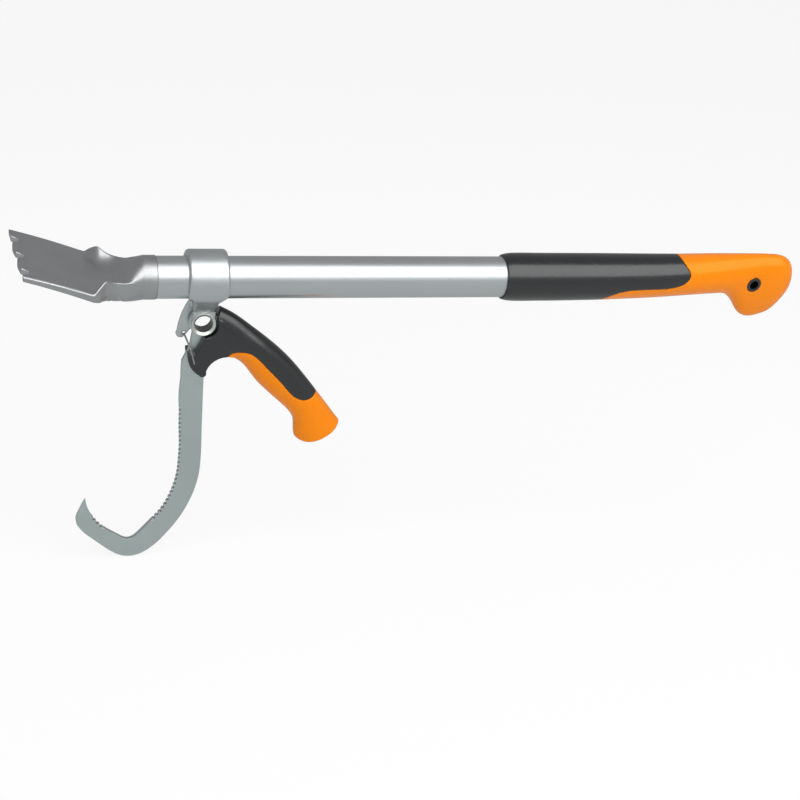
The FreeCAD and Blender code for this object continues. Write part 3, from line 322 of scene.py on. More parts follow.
def edge_glint_group():
    """Mask of the outer edges, broken up by noise, where a bright highlight is painted on."""
    group, given, out = new_group("painted_edge_highlight", ("Vector", "Amount"), ("Mask",))
    bevel = node(group, "ShaderNodeBevel", samples=EDGE_GLINT_SAMPLES)
    feed(group, bevel.inputs["Radius"], EDGE_GLINT_WIDTH)
    flat = node(group, "ShaderNodeNewGeometry").outputs["Normal"]
    turned = vector_node(group, "DOT_PRODUCT", bevel.outputs[0], flat).outputs["Value"]
    patches = noise(group, given["Vector"], EDGE_GLINT_SCALE, EDGE_GLINT_DETAIL)
    mask = math_node(group, "MULTIPLY", mapped(group, turned, EDGE_GLINT_SPAN),
                     mapped(group, patches, EDGE_GLINT_BREAKS))
    mask = math_node(group, "MULTIPLY", mask, given["Amount"], use_clamp=True)
    feed(group, out["Mask"], mask)
    return group


CLOUDY = cloudy_group()
GRAIN = grain_group()
EDGE_GLINT = edge_glint_group()


def use_group(tree, group, **values):
    placed = node(tree, "ShaderNodeGroup", node_tree=group)
    for name, value in values.items():
        feed(tree, placed.inputs[name], value)
    return placed.outputs


# Materials

METAL_CLOUDS = 24.0
METAL_GRAIN_HEIGHT = 0.2 * MM
PLASTIC_CLOUDS = 14.0
PLASTIC_GRAIN_HEIGHT = 0.15 * MM
# Pale grey of the highlight painted along the edges.
EDGE_GLINT_COLOUR = grey(0.75)
WHITE = grey(1.0)


def shade(colour, factor):
    return tuple(channel * factor for channel in colour) + (1,)


def textured(name, colour, tone, clouds, rough, grain, bump, grain_height, stretch):
    """A new material with fine grain, drawn out along one axis where stretch says so.

    The tree, the shader, the place on the surface and the cloudy colour come with it.
    """
    material = bpy.data.materials.new(name)
    material.use_nodes = True
    tree = material.node_tree
    shader = tree.nodes["Principled BSDF"].inputs
    place = node(tree, "ShaderNodeTexCoord").outputs["Object"]
    drawn = node(tree, "ShaderNodeMapping")
    feed(tree, drawn.inputs["Vector"], place)
    feed(tree, drawn.inputs["Scale"], stretch)
    tint = use_group(tree, CLOUDY, Vector=place, Scale=clouds, Dark=shade(colour, 1 - tone),
                     Light=shade(colour, 1 + tone))["Color"]
    fine = use_group(tree, GRAIN, Vector=drawn.outputs[0], Scale=grain, Smoothest=rough[0],
                     Roughest=rough[1])
    height = node(tree, "ShaderNodeBump")
    for label, value in (("Strength", bump), ("Distance", grain_height),
                         ("Height", fine["Height"])):
        feed(tree, height.inputs[label], value)
    feed(tree, shader["Roughness"], fine["Roughness"])
    feed(tree, shader["Normal"], height.outputs[0])
    return material, tree, shader, place, tint


def metal(name, colour, rough, grain=900.0, bump=0.06, tone=0.06, edge_glint=0.0,
          stretch=(1, 1, 1)):
    """Bare or coated metal, with a highlight painted bright along its edges."""
    material, tree, shader, place, tint = textured(
        name, colour, tone, METAL_CLOUDS, rough, grain, bump, METAL_GRAIN_HEIGHT, stretch)
    glint_mask = use_group(tree, EDGE_GLINT, Vector=place, Amount=edge_glint)["Mask"]
    # Painted highlight: the edges are mixed towards a pale grey.
    feed(tree, shader["Base Color"], colour_mix(tree, glint_mask, tint, EDGE_GLINT_COLOUR))
    feed(tree, shader["Metallic"], 1.0)
    return material


def plastic(name, colour, rough, grain=1400.0, bump=0.10, tone=0.04, sheen=0.5,
            sheen_tint=WHITE):
    """Moulded plastic with the fine texture of its mould."""
    material, tree, shader, _, tint = textured(
        name, colour, tone, PLASTIC_CLOUDS, rough, grain, bump, PLASTIC_GRAIN_HEIGHT, (1, 1, 1))
    feed(tree, shader["Base Color"], tint)
    feed(tree, shader["Specular IOR Level"], sheen)
    feed(tree, shader["Specular Tint"], sheen_tint)
    return material


TUBE_FINISH = metal("satin_aluminium", (0.53, 0.54, 0.55), rough=(0.32, 0.40), grain=1500.0,
                    bump=0.05, tone=0.02, stretch=(0.02, 1, 1))
# The last amount given on the head, bracket and hook finishes paints a bright highlight along
# their edges.
HEAD_FINISH = metal("coated_head_steel", (0.40, 0.40, 0.405), rough=(0.34, 0.44),
                    grain=700.0, bump=0.08, tone=0.05, edge_glint=0.6)
BRACKET_FINISH = metal("bracket_steel", (0.52, 0.54, 0.545), rough=(0.34, 0.42),
                       grain=800.0, tone=0.03, edge_glint=0.4)
RIVET_FINISH = metal("zinc_plated", (0.60, 0.62, 0.58), rough=(0.25, 0.40), tone=0.05)
HOOK_FINISH = metal("hook_steel", (0.49, 0.54, 0.535), rough=(0.32, 0.42), grain=800.0,
                    tone=0.03, edge_glint=0.5)
PIN_FINISH = metal("dark_pin_steel", (0.10, 0.10, 0.10), rough=(0.35, 0.5))
WIRE_FINISH = metal("spring_wire", (0.33, 0.33, 0.33), rough=(0.25, 0.35), grain=1200.0)
ORANGE_FINISH = plastic("orange_plastic", (0.86, 0.222, 0.003), rough=(0.20, 0.27),
                        bump=0.012, tone=0.03, sheen=0.55, sheen_tint=(1.0, 0.8, 0.22, 1))
BLACK_FINISH = plastic("black_soft_cover", (0.006, 0.006, 0.007), rough=(0.20, 0.27),
                       grain=1100.0, bump=0.015, tone=0.06, sheen=0.75)
PLUG_FINISH = plastic("plug_plastic", (0.03, 0.03, 0.03), rough=(0.4, 0.5))


# Making pieces

MERGE_REACH = 0.002 * MM
EDGE_ANGLE = math.radians(35)
CRISP_ANGLE = math.radians(32)
SOFT_ANGLE = math.radians(60)
RELAX_SHARE = 0.5


def add_piece(name, mesh, finish, body, slot, *stands_for):
    """A finished piece: its material, its body and the solids that it stands for."""
    piece = bpy.data.objects.new(name, mesh)
    scene.collection.objects.link(piece)
    mesh.materials.clear()
    mesh.materials.append(finish)
    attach(piece, body)
    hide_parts(*stands_for)


def evaluated(holder):
    """The mesh of an object with its modifiers applied; the object goes."""
    graph = bpy.context.evaluated_depsgraph_get()
    result = bpy.data.meshes.new_from_object(holder.evaluated_get(graph), depsgraph=graph)
    bpy.data.objects.remove(holder)
    return result


def settled(mesh, *modifiers):
    """The mesh with a chain of modifiers applied; each is a kind and its settings."""
    holder = bpy.data.objects.new("holder", mesh)
    scene.collection.objects.link(holder)
    for kind, settings in modifiers:
        modifier = holder.modifiers.new(kind.lower(), kind)
        for key, value in settings.items():
            setattr(modifier, key, value)
    return evaluated(holder)


def smooth(mesh, angle=CRISP_ANGLE):
    """Smooth shading, broken where faces meet at more than this angle."""
    mesh.polygons.foreach_set("use_smooth", [True] * len(mesh.polygons))
    mesh.set_sharp_from_angle(angle=angle)
    return mesh


def edged(mesh, width, segments=3):
    """The mesh with a small radius on its sharp edges."""
    return settled(mesh, ("BEVEL", {"width": width, "segments": segments,
                                    "limit_method": "ANGLE", "angle_limit": EDGE_ANGLE,
                                    "use_clamp_overlap": True}))


def moulded(mesh, voxel, rounds):
    """The mesh with all its edges rounded over, shaded smooth."""
    remesh = ("REMESH", {"mode": "VOXEL", "voxel_size": voxel, "use_smooth_shade": True})
    relax = ("SMOOTH", {"factor": RELAX_SHARE, "iterations": rounds})
    return smooth(settled(mesh, remesh, relax), SOFT_ANGLE)


def merged_copy(name):
    """A solid's mesh with its loose triangles joined."""
    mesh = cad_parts[name].data.copy()
    shape = bmesh.new()
    shape.from_mesh(mesh)
    bmesh.ops.remove_doubles(shape, verts=shape.verts, dist=MERGE_REACH)
    shape.to_mesh(mesh)
    shape.free()
    mesh.normals_split_custom_set([(0, 0, 0)] * len(mesh.loops))
    return mesh


def edged_piece(name, node_name, finish, body, slot, edge):
    """A cut or turned piece, made from its solid."""
    mesh = smooth(edged(merged_copy(node_name), edge))
    add_piece(name, mesh, finish, body, slot, node_name)


def moulded_piece(name, node_name, finish, body, slot, voxel, rounds):
    """A formed or moulded piece, made from its solid."""
    mesh = moulded(merged_copy(node_name), voxel, rounds)
    add_piece(name, mesh, finish, body, slot, node_name)


def bridge(shape, first, second):
    """Band of faces between two closed rings of equal count."""
    count = len(first)
    for n in range(count):
        m = (n + 1) % count
        shape.faces.new((first[n], first[m], second[m], second[n]))


def meshed(name, shape):
    """A mesh of an edited shape, which is used up."""
    mesh = bpy.data.meshes.new(name)
    shape.to_mesh(mesh)
    shape.free()
    return mesh


# The head: a notched blade, a dish that closes to a round end, and the spigot

# Each row holds a place along the tube, the half width, the heights of rim, middle and
# underside, and how square the upper and lower halves are.
HEAD_ROWS = [
    (-502.0, 48.0, 5.4, 5.2, -3.6, 8.0, 16.0),
    (-497.0, 44.8, 10.2, 4.0, -6.4, 6.0, 12.0),
    (-491.0, 39.2, 14.2, 2.8, -10.0, 4.5, 6.0),
    (-485.0, 34.6, 11.2, 2.3, -13.6, 4.0, 4.3),
    (-480.0, 31.6, 9.4, 3.2, -16.0, 4.0, 3.4),
    (-474.0, 29.8, 8.4, 5.6, -18.0, 3.5, 3.0),
    (-468.0, 27.9, 6.6, 10.0, -19.6, 2.6, 2.6),
    (-461.0, 24.6, 3.4, 16.0, -20.5, 2.2, 2.3),
    (-453.0, 20.7, 0.0, 20.7, -20.7, 2.0, 2.0),
]
HEAD_START = HEAD_ROWS[0][0]
HEAD_END = HEAD_ROWS[-1][0]
HEAD_STEP = 1.2
HEAD_VOXEL = 0.7 * MM
HEAD_ROUNDS = 3
SEAM_PLACE = -441.0
HEAD_RADIUS = 20.7
SPIGOT_RADIUS = 17.45
SPIGOT_END = -397.0
SPIGOT_BORE = 11.0
BORE_FLOOR = -447.0
SEAM_ROUND = 0.5
# Where the dish gives way to the dome, and where the columns spread round the end.
DOME_FROM = -482.0
DOME_FULL = -462.0
FLAT_RIM = 2.2
# How far the rims roll down, and over what share of the half width.
EDGE_ROLL = 1.5
EDGE_ROLL_SHARE = 0.06
BLADE_SLOPE = math.tan(math.radians(17.1))
BLADE_REACH = 69.0
BLADE_BOW = 0.9
BLADE_TIP_THICK = 5.9
BLADE_HALF = 50.0
BLADE_WIDTH = 2 * BLADE_HALF
BLADE_ROWS = 14
EDGE_SKEW = 7.0
# The notches are placed from the blade's far corner.
NOTCH_STARTS = (16.75, 50.25, 83.75)
NOTCH_WIDTH = 11.0
NOTCH_DEPTH = 7.0
NOTCH_FLOOR_SHARE = 0.42
NOTCH_COLUMNS = 12
TOOTH_SWELL = 1.3
# A tooth narrower than this swells less.
TOOTH_FULL_WIDTH = 20
# Columns of points across the blade: close at the rims, even between them.
RIM_COLUMNS = (0.0, 0.5, 1.2, 2.0)
COLUMN_FIRST = 3.0
COLUMN_STEP = 2.0
COLUMN_COUNT = 48
COLUMN_GAP = 0.3
HEEL_GROOVES = (-493.9, -484.4, -474.9)
GROOVE_HALF = 0.9
GROOVE_DEPTH = 1.3
GROOVE_POWER = 0.5


def eased(value, low, high):
    """Zero below, one above, and a soft step between."""
    share = min(1.0, max(0.0, (value - low) / (high - low)))
    return share * share * (3 - 2 * share)


def through(rows, x):
    """Smooth curve through the rows, each of which starts with its place."""
    for n in range(len(rows) - 1):
        if x <= rows[n + 1][0]:
            break
    before = rows[max(n - 1, 0)]
    first, last = rows[n], rows[n + 1]
    after = rows[min(n + 2, len(rows) - 1)]
    span = last[0] - first[0]
    share = (x - first[0]) / span
    values = []
    for k in range(1, len(first)):
        leave = (last[k] - before[k]) / (last[0] - before[0]) * span
        arrive = (after[k] - first[k]) / (after[0] - first[0]) * span
        values.append((2 * share ** 3 - 3 * share ** 2 + 1) * first[k]
                      + (share ** 3 - 2 * share ** 2 + share) * leave
                      + (-2 * share ** 3 + 3 * share ** 2) * last[k]
                      + (share ** 3 - share ** 2) * arrive)
    return values


def squared(q, power):
    """Height over q of a half oval; a power of 2 is an ellipse, and a high one is square."""
    return max(0.0, 1 - abs(q) ** power) ** (1 / power)


def rolled(t):
    """How far the rim rolls down at this column."""
    return EDGE_ROLL * max(0.0, 1 - (1 - abs(t)) / EDGE_ROLL_SHARE) ** 2


def front_inset(along):
    """How far the blade's front lies behind its far corner; along is measured from there."""
    inset = EDGE_SKEW * along / BLADE_WIDTH
    for start in NOTCH_STARTS:
        share = (along - start) / NOTCH_WIDTH
        if 0 < share < NOTCH_FLOOR_SHARE:
            return inset + NOTCH_DEPTH * math.sqrt(share / NOTCH_FLOOR_SHARE)
        if NOTCH_FLOOR_SHARE <= share < 1:
            rest = (share - NOTCH_FLOOR_SHARE) / (1 - NOTCH_FLOOR_SHARE)
            return inset + NOTCH_DEPTH * math.cos(rest * QUARTER_TURN)
    # Each tooth but the far one swells a little between its two notches.
    teeth_from = [start + NOTCH_WIDTH for start in NOTCH_STARTS]
    teeth_to = [*NOTCH_STARTS[1:], BLADE_WIDTH]
    for low, high in zip(teeth_from, teeth_to):
        if low <= along <= high:
            bulge = math.sin(math.pi * (along - low) / (high - low))
            return inset - TOOTH_SWELL * bulge * min(1.0, (high - low) / TOOTH_FULL_WIDTH)
    return inset


def head_columns():
    """Shares across the blade, from its near side at -1 to its far side at 1."""
    places = {COLUMN_FIRST + COLUMN_STEP * n for n in range(COLUMN_COUNT)}
    places.update(RIM_COLUMNS)
    places.update(BLADE_WIDTH - place for place in RIM_COLUMNS)
    for start in NOTCH_STARTS:
        places.update(start + NOTCH_WIDTH * n / NOTCH_COLUMNS for n in range(NOTCH_COLUMNS + 1))
    kept = []
    for place in sorted(places):
        if not kept or place - kept[-1] > COLUMN_GAP:
            kept.append(place)
    return [1 - place / BLADE_HALF for place in reversed(kept)]


def head_ring(x, row, columns):
    """Closed ring of a neck section: its top from near to far, then its underside back."""
    half, rim, middle, under, top_square, low_square = row
    spread = eased(x, HEAD_START, DOME_FULL)
    dome_share = eased(x, DOME_FROM, DOME_FULL)
    for groove in HEEL_GROOVES:
        under += GROOVE_DEPTH * max(0.0, 1 - abs(x - groove) / GROOVE_HALF) ** GROOVE_POWER
    top, low = [], []
    for t in columns:
        q = (1 - spread) * t + spread * math.sin(QUARTER_TURN * t)
        inner = min(1.0, abs(q) / (1 - FLAT_RIM / half))
        dish = 1 - inner ** top_square
        rise = (1 - dome_share) * dish + dome_share * squared(q, top_square)
        roll = (1 - dome_share) * rolled(t)
        sink = squared(q, low_square)
        top.append(Vector((x, half * q, rim + (middle - rim) * rise - roll)))
        low.append(Vector((x, half * q, rim - roll + (under - rim + roll) * sink)))
    return top + low[-2:0:-1]


def blade_ring(share, columns):
    """Ring of the blade, at this share of the way from its root to its notched front."""
    start, root_half, _, root_top, root_under, _, low_square = HEAD_ROWS[0]
    top, low = [], []
    for t in columns:
        out = (BLADE_REACH - front_inset((1 - t) * BLADE_HALF)) * share
        part = out / BLADE_REACH
        half = root_half + (BLADE_HALF - root_half) * part
        height = root_top + out * BLADE_SLOPE + BLADE_BOW * math.sin(math.pi * part)
        thick = (root_top - root_under) * (1 - part) + BLADE_TIP_THICK * part
        roll = rolled(t)
        under = height - roll - (thick - roll) * squared(t, low_square)
        top.append(Vector((start - out, half * t, height - roll)))
        low.append(Vector((start - out, half * t, under)))
    return top + low[-2:0:-1]


def round_ring(x, radius, columns):
    """Round ring with the same count of points as the head's other rings."""
    turns = [QUARTER_TURN * t for t in columns]
    top = [Vector((x, radius * math.sin(a), radius * math.cos(a))) for a in turns]
    low = [Vector((x, radius * math.sin(a), -radius * math.cos(a))) for a in turns]
    return top + low[-2:0:-1]


def lofted(name, rings):
    """Closed mesh over rings of equal count, with a strip of faces across either end."""
    shape = bmesh.new()
    made = [[shape.verts.new(point * MM) for point in ring] for ring in rings]
    for first, second in zip(made, made[1:]):
        bridge(shape, first, second)
    count = len(made[0])
    for ring in (made[0], made[-1]):
        for n in range(count // 2):
            across = (ring[n], ring[n + 1], ring[(count - n - 1) % count], ring[-n])
            shape.faces.new(tuple(dict.fromkeys(across)))
    bmesh.ops.recalc_face_normals(shape, faces=shape.faces)
    return meshed(name, shape)


def head_mesh():
    """The forged head: blade, neck, round end and hollow spigot in one."""
    columns = head_columns()
    rings = [blade_ring(1 - n / BLADE_ROWS, columns) for n in range(BLADE_ROWS)]
    x = HEAD_START
    while x < HEAD_END:
        rings.append(head_ring(x, through(HEAD_ROWS, x), columns))
        x += HEAD_STEP
    ends = [(HEAD_END, HEAD_RADIUS), (SEAM_PLACE - SEAM_ROUND, HEAD_RADIUS),
            (SEAM_PLACE, HEAD_RADIUS - SEAM_ROUND), (SEAM_PLACE, SPIGOT_RADIUS),
            (SPIGOT_END, SPIGOT_RADIUS), (SPIGOT_END, SPIGOT_BORE), (BORE_FLOOR, SPIGOT_BORE)]
    rings += [round_ring(place, radius, columns) for place, radius in ends]
    return lofted("head", rings)


# The hollow rivet: half of its wall, as radius and place along its axis

RIVET_PLACE = Vector((-394.0, 0.0, -46.0))
RIVET_HALF = [(8.4, 0.0), (8.4, 6.4), (8.9, 6.75), (10.7, 8.1), (11.2, 8.3), (11.7, 8.1),
              (11.9, 7.6), (11.8, 6.9), (9.5, 6.9), (9.5, 0.0)]
RIVET_SIDES = 96
# Distances from the axis between which the painted shade inside the bore turns into plating.
BORE_SHADE_SPAN = (8.5 * MM, 9.0 * MM)
BORE_SHADE_COLOUR = grey(0.10)
ACROSS_AXIS = (1.0, 0.0, 1.0)


def paint_bore_shade(material):
    """Paint shade into the inside of the rivet's bore, by the distance from its axis."""
    tree = material.node_tree
    base = tree.nodes["Principled BSDF"].inputs["Base Color"]
    place = node(tree, "ShaderNodeTexCoord").outputs["Object"]
    apart = vector_node(tree, "SUBTRACT", place, RIVET_PLACE * MM).outputs[0]
    flat = vector_node(tree, "MULTIPLY", apart, ACROSS_AXIS).outputs[0]
    reach = vector_node(tree, "LENGTH", flat).outputs["Value"]
    plated = mapped(tree, reach, BORE_SHADE_SPAN)
    # Painted shade: inside the bore the plating colour gives way to a dark grey.
    feed(tree, base, colour_mix(tree, plated, BORE_SHADE_COLOUR, base.links[0].from_socket))


def rivet_mesh():
    """Hollow rivet, flared open into a funnel at both ends."""
    outline = RIVET_HALF[:-1] + [(r, -y) for r, y in reversed(RIVET_HALF[1:])]
    shape = bmesh.new()
    rings = []
    for n in range(RIVET_SIDES):
        turn = FULL_TURN * n / RIVET_SIDES
        ring = []
        for r, y in outline:
            place = RIVET_PLACE + Vector((r * math.cos(turn), y, r * math.sin(turn)))
            ring.append(shape.verts.new(place * MM))
        rings.append(ring)
    for n in range(RIVET_SIDES):
        bridge(shape, rings[n], rings[(n + 1) % RIVET_SIDES])
    bmesh.ops.recalc_face_normals(shape, faces=shape.faces)
    return meshed("hollow_rivet", shape)


# The hook's bar: its shank, bends and foot, from the pivot across and up

BAR_OUTER = [
    (4.9, -80.4), (5.5, -98.3), (6.1, -116.4), (6.9, -134.8), (7.2, -150.0), (7.0, -162.6),
    (6.2, -171.9), (4.5, -181.3), (2.2, -190.7), (-1.0, -200.0), (-4.8, -209.4), (-9.5, -218.8),
    (-15.2, -228.2), (-21.8, -237.5), (-29.2, -246.9), (-36.7, -254.4), (-42.9, -259.1),
    (-48.8, -262.3), (-54.8, -264.0), (-60.9, -264.2), (-66.9, -263.0), (-73.0, -260.1),
    (-79.2, -255.9), (-85.3, -250.9), (-91.5, -245.6), (-97.6, -240.2), (-103.6, -234.8),
    (-108.2, -229.5), (-111.8, -223.8), (-113.0, -218.3), (-112.1, -213.1), (-109.3, -205.3),
    (-106.6, -198.2), (-104.2, -194.0)]
BAR_INNER = [
    (-18.2, -80.0), (-17.1, -98.0), (-16.3, -116.0), (-15.0, -134.0), (-14.9, -150.0),
    (-15.3, -164.0), (-16.6, -175.0), (-18.9, -185.0), (-22.1, -195.0), (-26.2, -204.5),
    (-31.2, -213.2), (-37.4, -221.0), (-43.7, -228.9), (-50.0, -236.4), (-53.8, -240.6),
    (-57.7, -243.2), (-61.7, -243.9), (-65.8, -242.6), (-70.2, -239.8), (-76.0, -236.0),
    (-81.2, -232.4), (-86.2, -228.4), (-91.6, -222.6), (-96.7, -215.8), (-99.4, -211.3),
    (-102.0, -204.8), (-103.6, -198.5), (-104.2, -194.0)]
BAR_STEP = 1.6
BAR_HALF_THICK = 2.5
BAR_EDGE = 0.45 * MM
# The solid is cut here, and the plate below it starts a little higher and runs straight.
BAR_CUT = -60.0
BAR_LAP = 0.5
BAR_STRAIGHT = 2
# From here on the solid is the tang, which the handle hides and the cut leaves whole.
TANG_SIDE = 12
# The point is ground thinner over its last stretch, on this side of the foot.
GROUND_FROM = -221.0
GROUND_FULL = -194.0
GROUND_THIN = 1.9
GROUND_SIDE = -92.0
TOOTH_PITCH = 4.9
TOOTH_DEPTH = 1.5
TOOTH_ROOT = 0.6
TOOTH_SHARE = 0.60
TOOTH_SIDE_GAP = 0.15
TOOTH_EDGE = 0.2 * MM
TOOTH_EDGE_SEGMENTS = 2
# Heights and sides between which the inner edge is toothed.
SHANK_TEETH = (-221.5, -91.0)
SHANK_TEETH_SIDE = -38.0
FOOT_TEETH = (-229.5, -215.0)
FOOT_TEETH_SIDES = (-97.4, -86.0)


def flowing(corners, step):
    """Smooth line through corner points, with points about a step apart."""
    corners = [Vector(corner) for corner in corners]
    made = []
    for n in range(len(corners) - 1):
        a = corners[max(n - 1, 0)]
        b, c = corners[n], corners[n + 1]
        d = corners[min(n + 2, len(corners) - 1)]
        count = max(1, round((c - b).length / step))
        for k in range(count):
            s = k / count
            made.append((b * 2 + (c - a) * s + (a * 2 - b * 5 + c * 4 - d) * s ** 2
                         + (b * 3 - a - c * 3 + d) * s ** 3) / 2)
    made.append(corners[-1])
    return made


def in_teeth(point):
    """Whether this place on the inner edge is toothed: down the shank, or up the foot."""
    if point.x > SHANK_TEETH_SIDE:
        return SHANK_TEETH[0] < point.y < SHANK_TEETH[1]
    in_height = FOOT_TEETH[0] < point.y < FOOT_TEETH[1]
    return in_height and FOOT_TEETH_SIDES[0] < point.x < FOOT_TEETH_SIDES[1]


def into_metal(line, n):
    """Unit vector from a point of the inner edge into the bar."""
    along = line[min(n + 1, len(line) - 1)] - line[max(n - 1, 0)]
    return Vector((-along.y, along.x)).normalized()


def placed(point, depth):
    """A point of the bar's outline, at this depth from its middle, in metres."""
    return (RIVET_PLACE + Vector((point.x, depth, point.y))) * MM


def bar_lower_mesh(left, right):
    """Shank, bends and foot as one plate between the ends of the cut above."""
    top = BAR_CUT + BAR_LAP
    inner = flowing([(left, top), (left, top - BAR_STRAIGHT)] + BAR_INNER, BAR_STEP)
    outer = flowing([(right, top), (right, top - BAR_STRAIGHT)] + BAR_OUTER, BAR_STEP)
    cut_in = []
    for n, point in enumerate(inner):
        depth = TOOTH_DEPTH if in_teeth(point) else 0.0
        cut_in.append(point + into_metal(inner, n) * depth)
    outline = outer + cut_in[-2::-1]
    depths = []
    for point in outline:
        ground = point.x < GROUND_SIDE
        thin = eased(point.y, GROUND_FROM, GROUND_FULL) if ground else 0.0
        depths.append(BAR_HALF_THICK - GROUND_THIN * thin)
    shape = bmesh.new()
    near = [shape.verts.new(placed(point, -depth)) for point, depth in zip(outline, depths)]
    far = [shape.verts.new(placed(point, depth)) for point, depth in zip(outline, depths)]
    bridge(shape, near, far)
    caps = [shape.faces.new(near), shape.faces.new(list(reversed(far)))]
    bmesh.ops.recalc_face_normals(shape, faces=shape.faces)
    bmesh.ops.triangulate(shape, faces=caps)
    return meshed("bar_lower", shape)


def teeth_tree():
    """Node tree that sets a small block on each step of a line and makes it real."""
    tree = bpy.data.node_groups.new("teeth_along_line", "GeometryNodeTree")
    for label, kind in (("Geometry", "Geometry"), ("Pitch", "Float"),
                        ("Tooth Size", "Vector"), ("Material", "Material")):
        tree.interface.new_socket(label, in_out="INPUT", socket_type="NodeSocket" + kind)
    tree.interface.new_socket("Geometry", in_out="OUTPUT", socket_type="NodeSocketGeometry")
    given = node(tree, "NodeGroupInput").outputs
    line = node(tree, "GeometryNodeMeshToCurve")
    steps = node(tree, "GeometryNodeResampleCurve", mode="LENGTH")
    block = node(tree, "GeometryNodeMeshCube")
    turn = node(tree, "FunctionNodeAlignRotationToVector", axis="X")
    place = node(tree, "GeometryNodeInstanceOnPoints")
    real = node(tree, "GeometryNodeRealizeInstances")
    paint = node(tree, "GeometryNodeSetMaterial")
    tangent = node(tree, "GeometryNodeInputTangent")
    for target, source in (
            (line.inputs[0], given["Geometry"]),
            (steps.inputs["Curve"], line.outputs[0]),
            (steps.inputs["Length"], given["Pitch"]),
            (block.inputs["Size"], given["Tooth Size"]),
            (turn.inputs["Vector"], tangent.outputs[0]),
            (place.inputs["Points"], steps.outputs[0]),
            (place.inputs["Instance"], block.outputs["Mesh"]),
            (place.inputs["Rotation"], turn.outputs[0]),
            (real.inputs[0], place.outputs[0]),
            (paint.inputs["Geometry"], real.outputs[0]),
            (paint.inputs["Material"], given["Material"]),
            (node(tree, "NodeGroupOutput").inputs[0], paint.outputs[0])):
        feed(tree, target, source)
    return tree


def teeth_mesh():
    """The small teeth of the bar's inner edge, on the shank and on the foot."""
    inner = flowing(BAR_INNER, BAR_STEP)
    sunk = (TOOTH_DEPTH + TOOTH_ROOT) / 2
    points, edges = [], []
    joined = False
    for n, point in enumerate(inner):
        if in_teeth(point):
            points.append(placed(point + into_metal(inner, n) * sunk, 0.0))
            if joined:
                edges.append((len(points) - 2, len(points) - 1))
        joined = in_teeth(point)
    line = bpy.data.meshes.new("teeth_line")
    line.from_pydata(points, edges, [])
    holder = bpy.data.objects.new("teeth", line)
    scene.collection.objects.link(holder)
    modifier = holder.modifiers.new("teeth", "NODES")
    modifier.node_group = teeth_tree()
    tooth = (TOOTH_PITCH * TOOTH_SHARE * MM, 2 * (BAR_HALF_THICK - TOOTH_SIDE_GAP) * MM,
             (TOOTH_DEPTH + TOOTH_ROOT) * MM)
    values = {"Pitch": TOOTH_PITCH * MM, "Tooth Size": tooth, "Material": HOOK_FINISH}
    for socket in modifier.node_group.interface.items_tree:
        if socket.in_out == "INPUT" and socket.name in values:
            modifier[socket.identifier] = values[socket.name]
    return evaluated(holder)


def bar_upper_mesh():
    """Eye, neck and tang: the solid above the cut, closed over where it is cut."""
    mesh = merged_copy("hook_bar")
    shape = bmesh.new()
    shape.from_mesh(mesh)
    level = (RIVET_PLACE.z + BAR_CUT) * MM
    tang_from = (RIVET_PLACE.x + TANG_SIDE) * MM
    geometry = shape.verts[:] + shape.edges[:] + shape.faces[:]
    bmesh.ops.bisect_plane(shape, geom=geometry, plane_co=(0, 0, level), plane_no=(0, 0, 1))
    lower = [v for v in shape.verts if v.co.z < level - MERGE_REACH and v.co.x < tang_from]
    bmesh.ops.delete(shape, geom=lower, context="VERTS")
    rim = [edge for edge in shape.edges if edge.is_boundary]
    ends = [v.co.x / MM - RIVET_PLACE.x for edge in rim for v in edge.verts]
    bmesh.ops.holes_fill(shape, edges=rim)
    bmesh.ops.recalc_face_normals(shape, faces=shape.faces)
    shape.to_mesh(mesh)
    shape.free()
    return mesh, min(ends), max(ends)


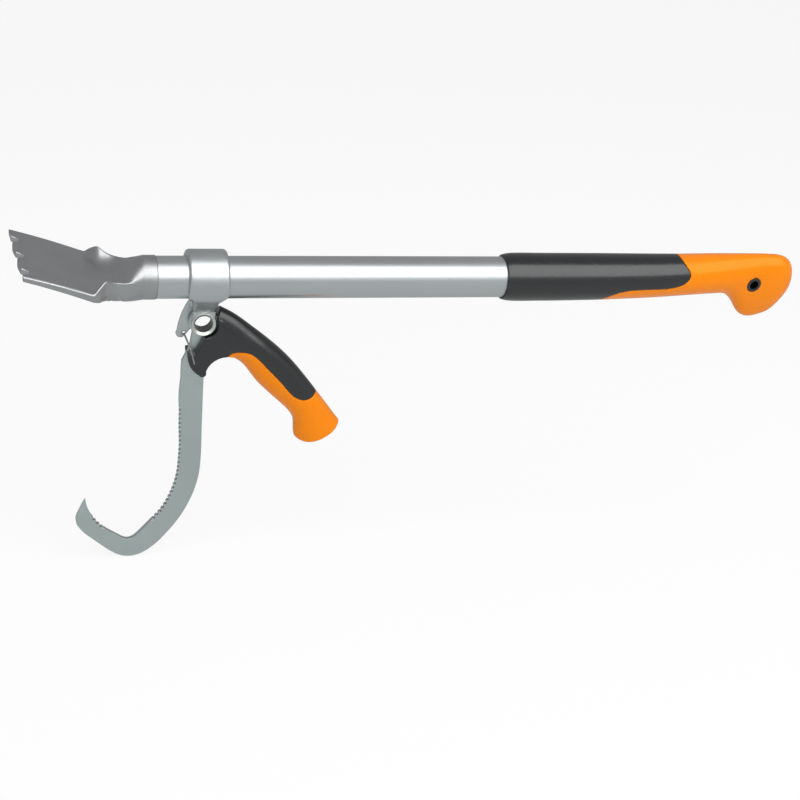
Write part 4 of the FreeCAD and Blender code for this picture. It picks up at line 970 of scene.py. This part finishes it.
def bar_mesh():
    """The hook's bar with its teeth, as one mesh."""
    upper, left, right = bar_upper_mesh()
    parts = [edged(upper, BAR_EDGE), edged(bar_lower_mesh(left, right), BAR_EDGE),
             edged(teeth_mesh(), TOOTH_EDGE, TOOTH_EDGE_SEGMENTS)]
    shape = bmesh.new()
    for part in parts:
        shape.from_mesh(part)
    return smooth(meshed("bar", shape))


# The pieces, in the order in which they are put together

edged_piece("tube", "lever_tube", TUBE_FINISH, "lever", "tube", edge=0.3 * MM)
edged_piece("end_plug", "tube_plug", PLUG_FINISH, "lever", "hidden_plastic", edge=0.3 * MM)
add_piece("head", moulded(head_mesh(), HEAD_VOXEL, HEAD_ROUNDS), HEAD_FINISH, "lever",
          "head_steel", "blade_head")
edged_piece("locking_pin", "head_pin", PIN_FINISH, "lever", "pin_steel", edge=0.3 * MM)
moulded_piece("bracket", "hook_bracket", BRACKET_FINISH, "lever", "bracket_steel",
              voxel=0.6 * MM, rounds=4)
# The rivet's material carries a painted shade inside its bore.
paint_bore_shade(RIVET_FINISH)
add_piece("hollow_rivet", smooth(rivet_mesh()), RIVET_FINISH, "lever", "rivet_steel",
          "pivot_rivet")
edged_piece("near_washer", "pivot_washer_near", RIVET_FINISH, "lever", "rivet_steel",
            edge=0.2 * MM)
edged_piece("far_washer", "pivot_washer_far", RIVET_FINISH, "lever", "rivet_steel",
            edge=0.2 * MM)
add_piece("bar", bar_mesh(), HOOK_FINISH, "hook", "hook_steel", "hook_bar")
moulded_piece("handle_body", "hook_handle_body", ORANGE_FINISH, "hook", "orange_grip",
              voxel=0.7 * MM, rounds=4)
moulded_piece("handle_cover", "hook_handle_cover", BLACK_FINISH, "hook", "black_grip",
              voxel=0.7 * MM, rounds=4)
edged_piece("handle_pins", "tang_pins", PIN_FINISH, "hook", "pin_steel", edge=0.3 * MM)
edged_piece("latch", "latch_wire", WIRE_FINISH, "latch", "wire_steel", edge=0.1 * MM)
moulded_piece("grip_body", "lever_grip_body", ORANGE_FINISH, "lever", "orange_grip",
              voxel=1.0 * MM, rounds=4)
moulded_piece("grip_cover", "lever_grip_cover", BLACK_FINISH, "lever", "black_grip",
              voxel=0.8 * MM, rounds=4)
edged_piece("hole_liner", "hang_hole_liner", BLACK_FINISH, "lever", "black_grip",
            edge=0.3 * MM)

make_camera()
make_world()
make_floor()
make_lamp()
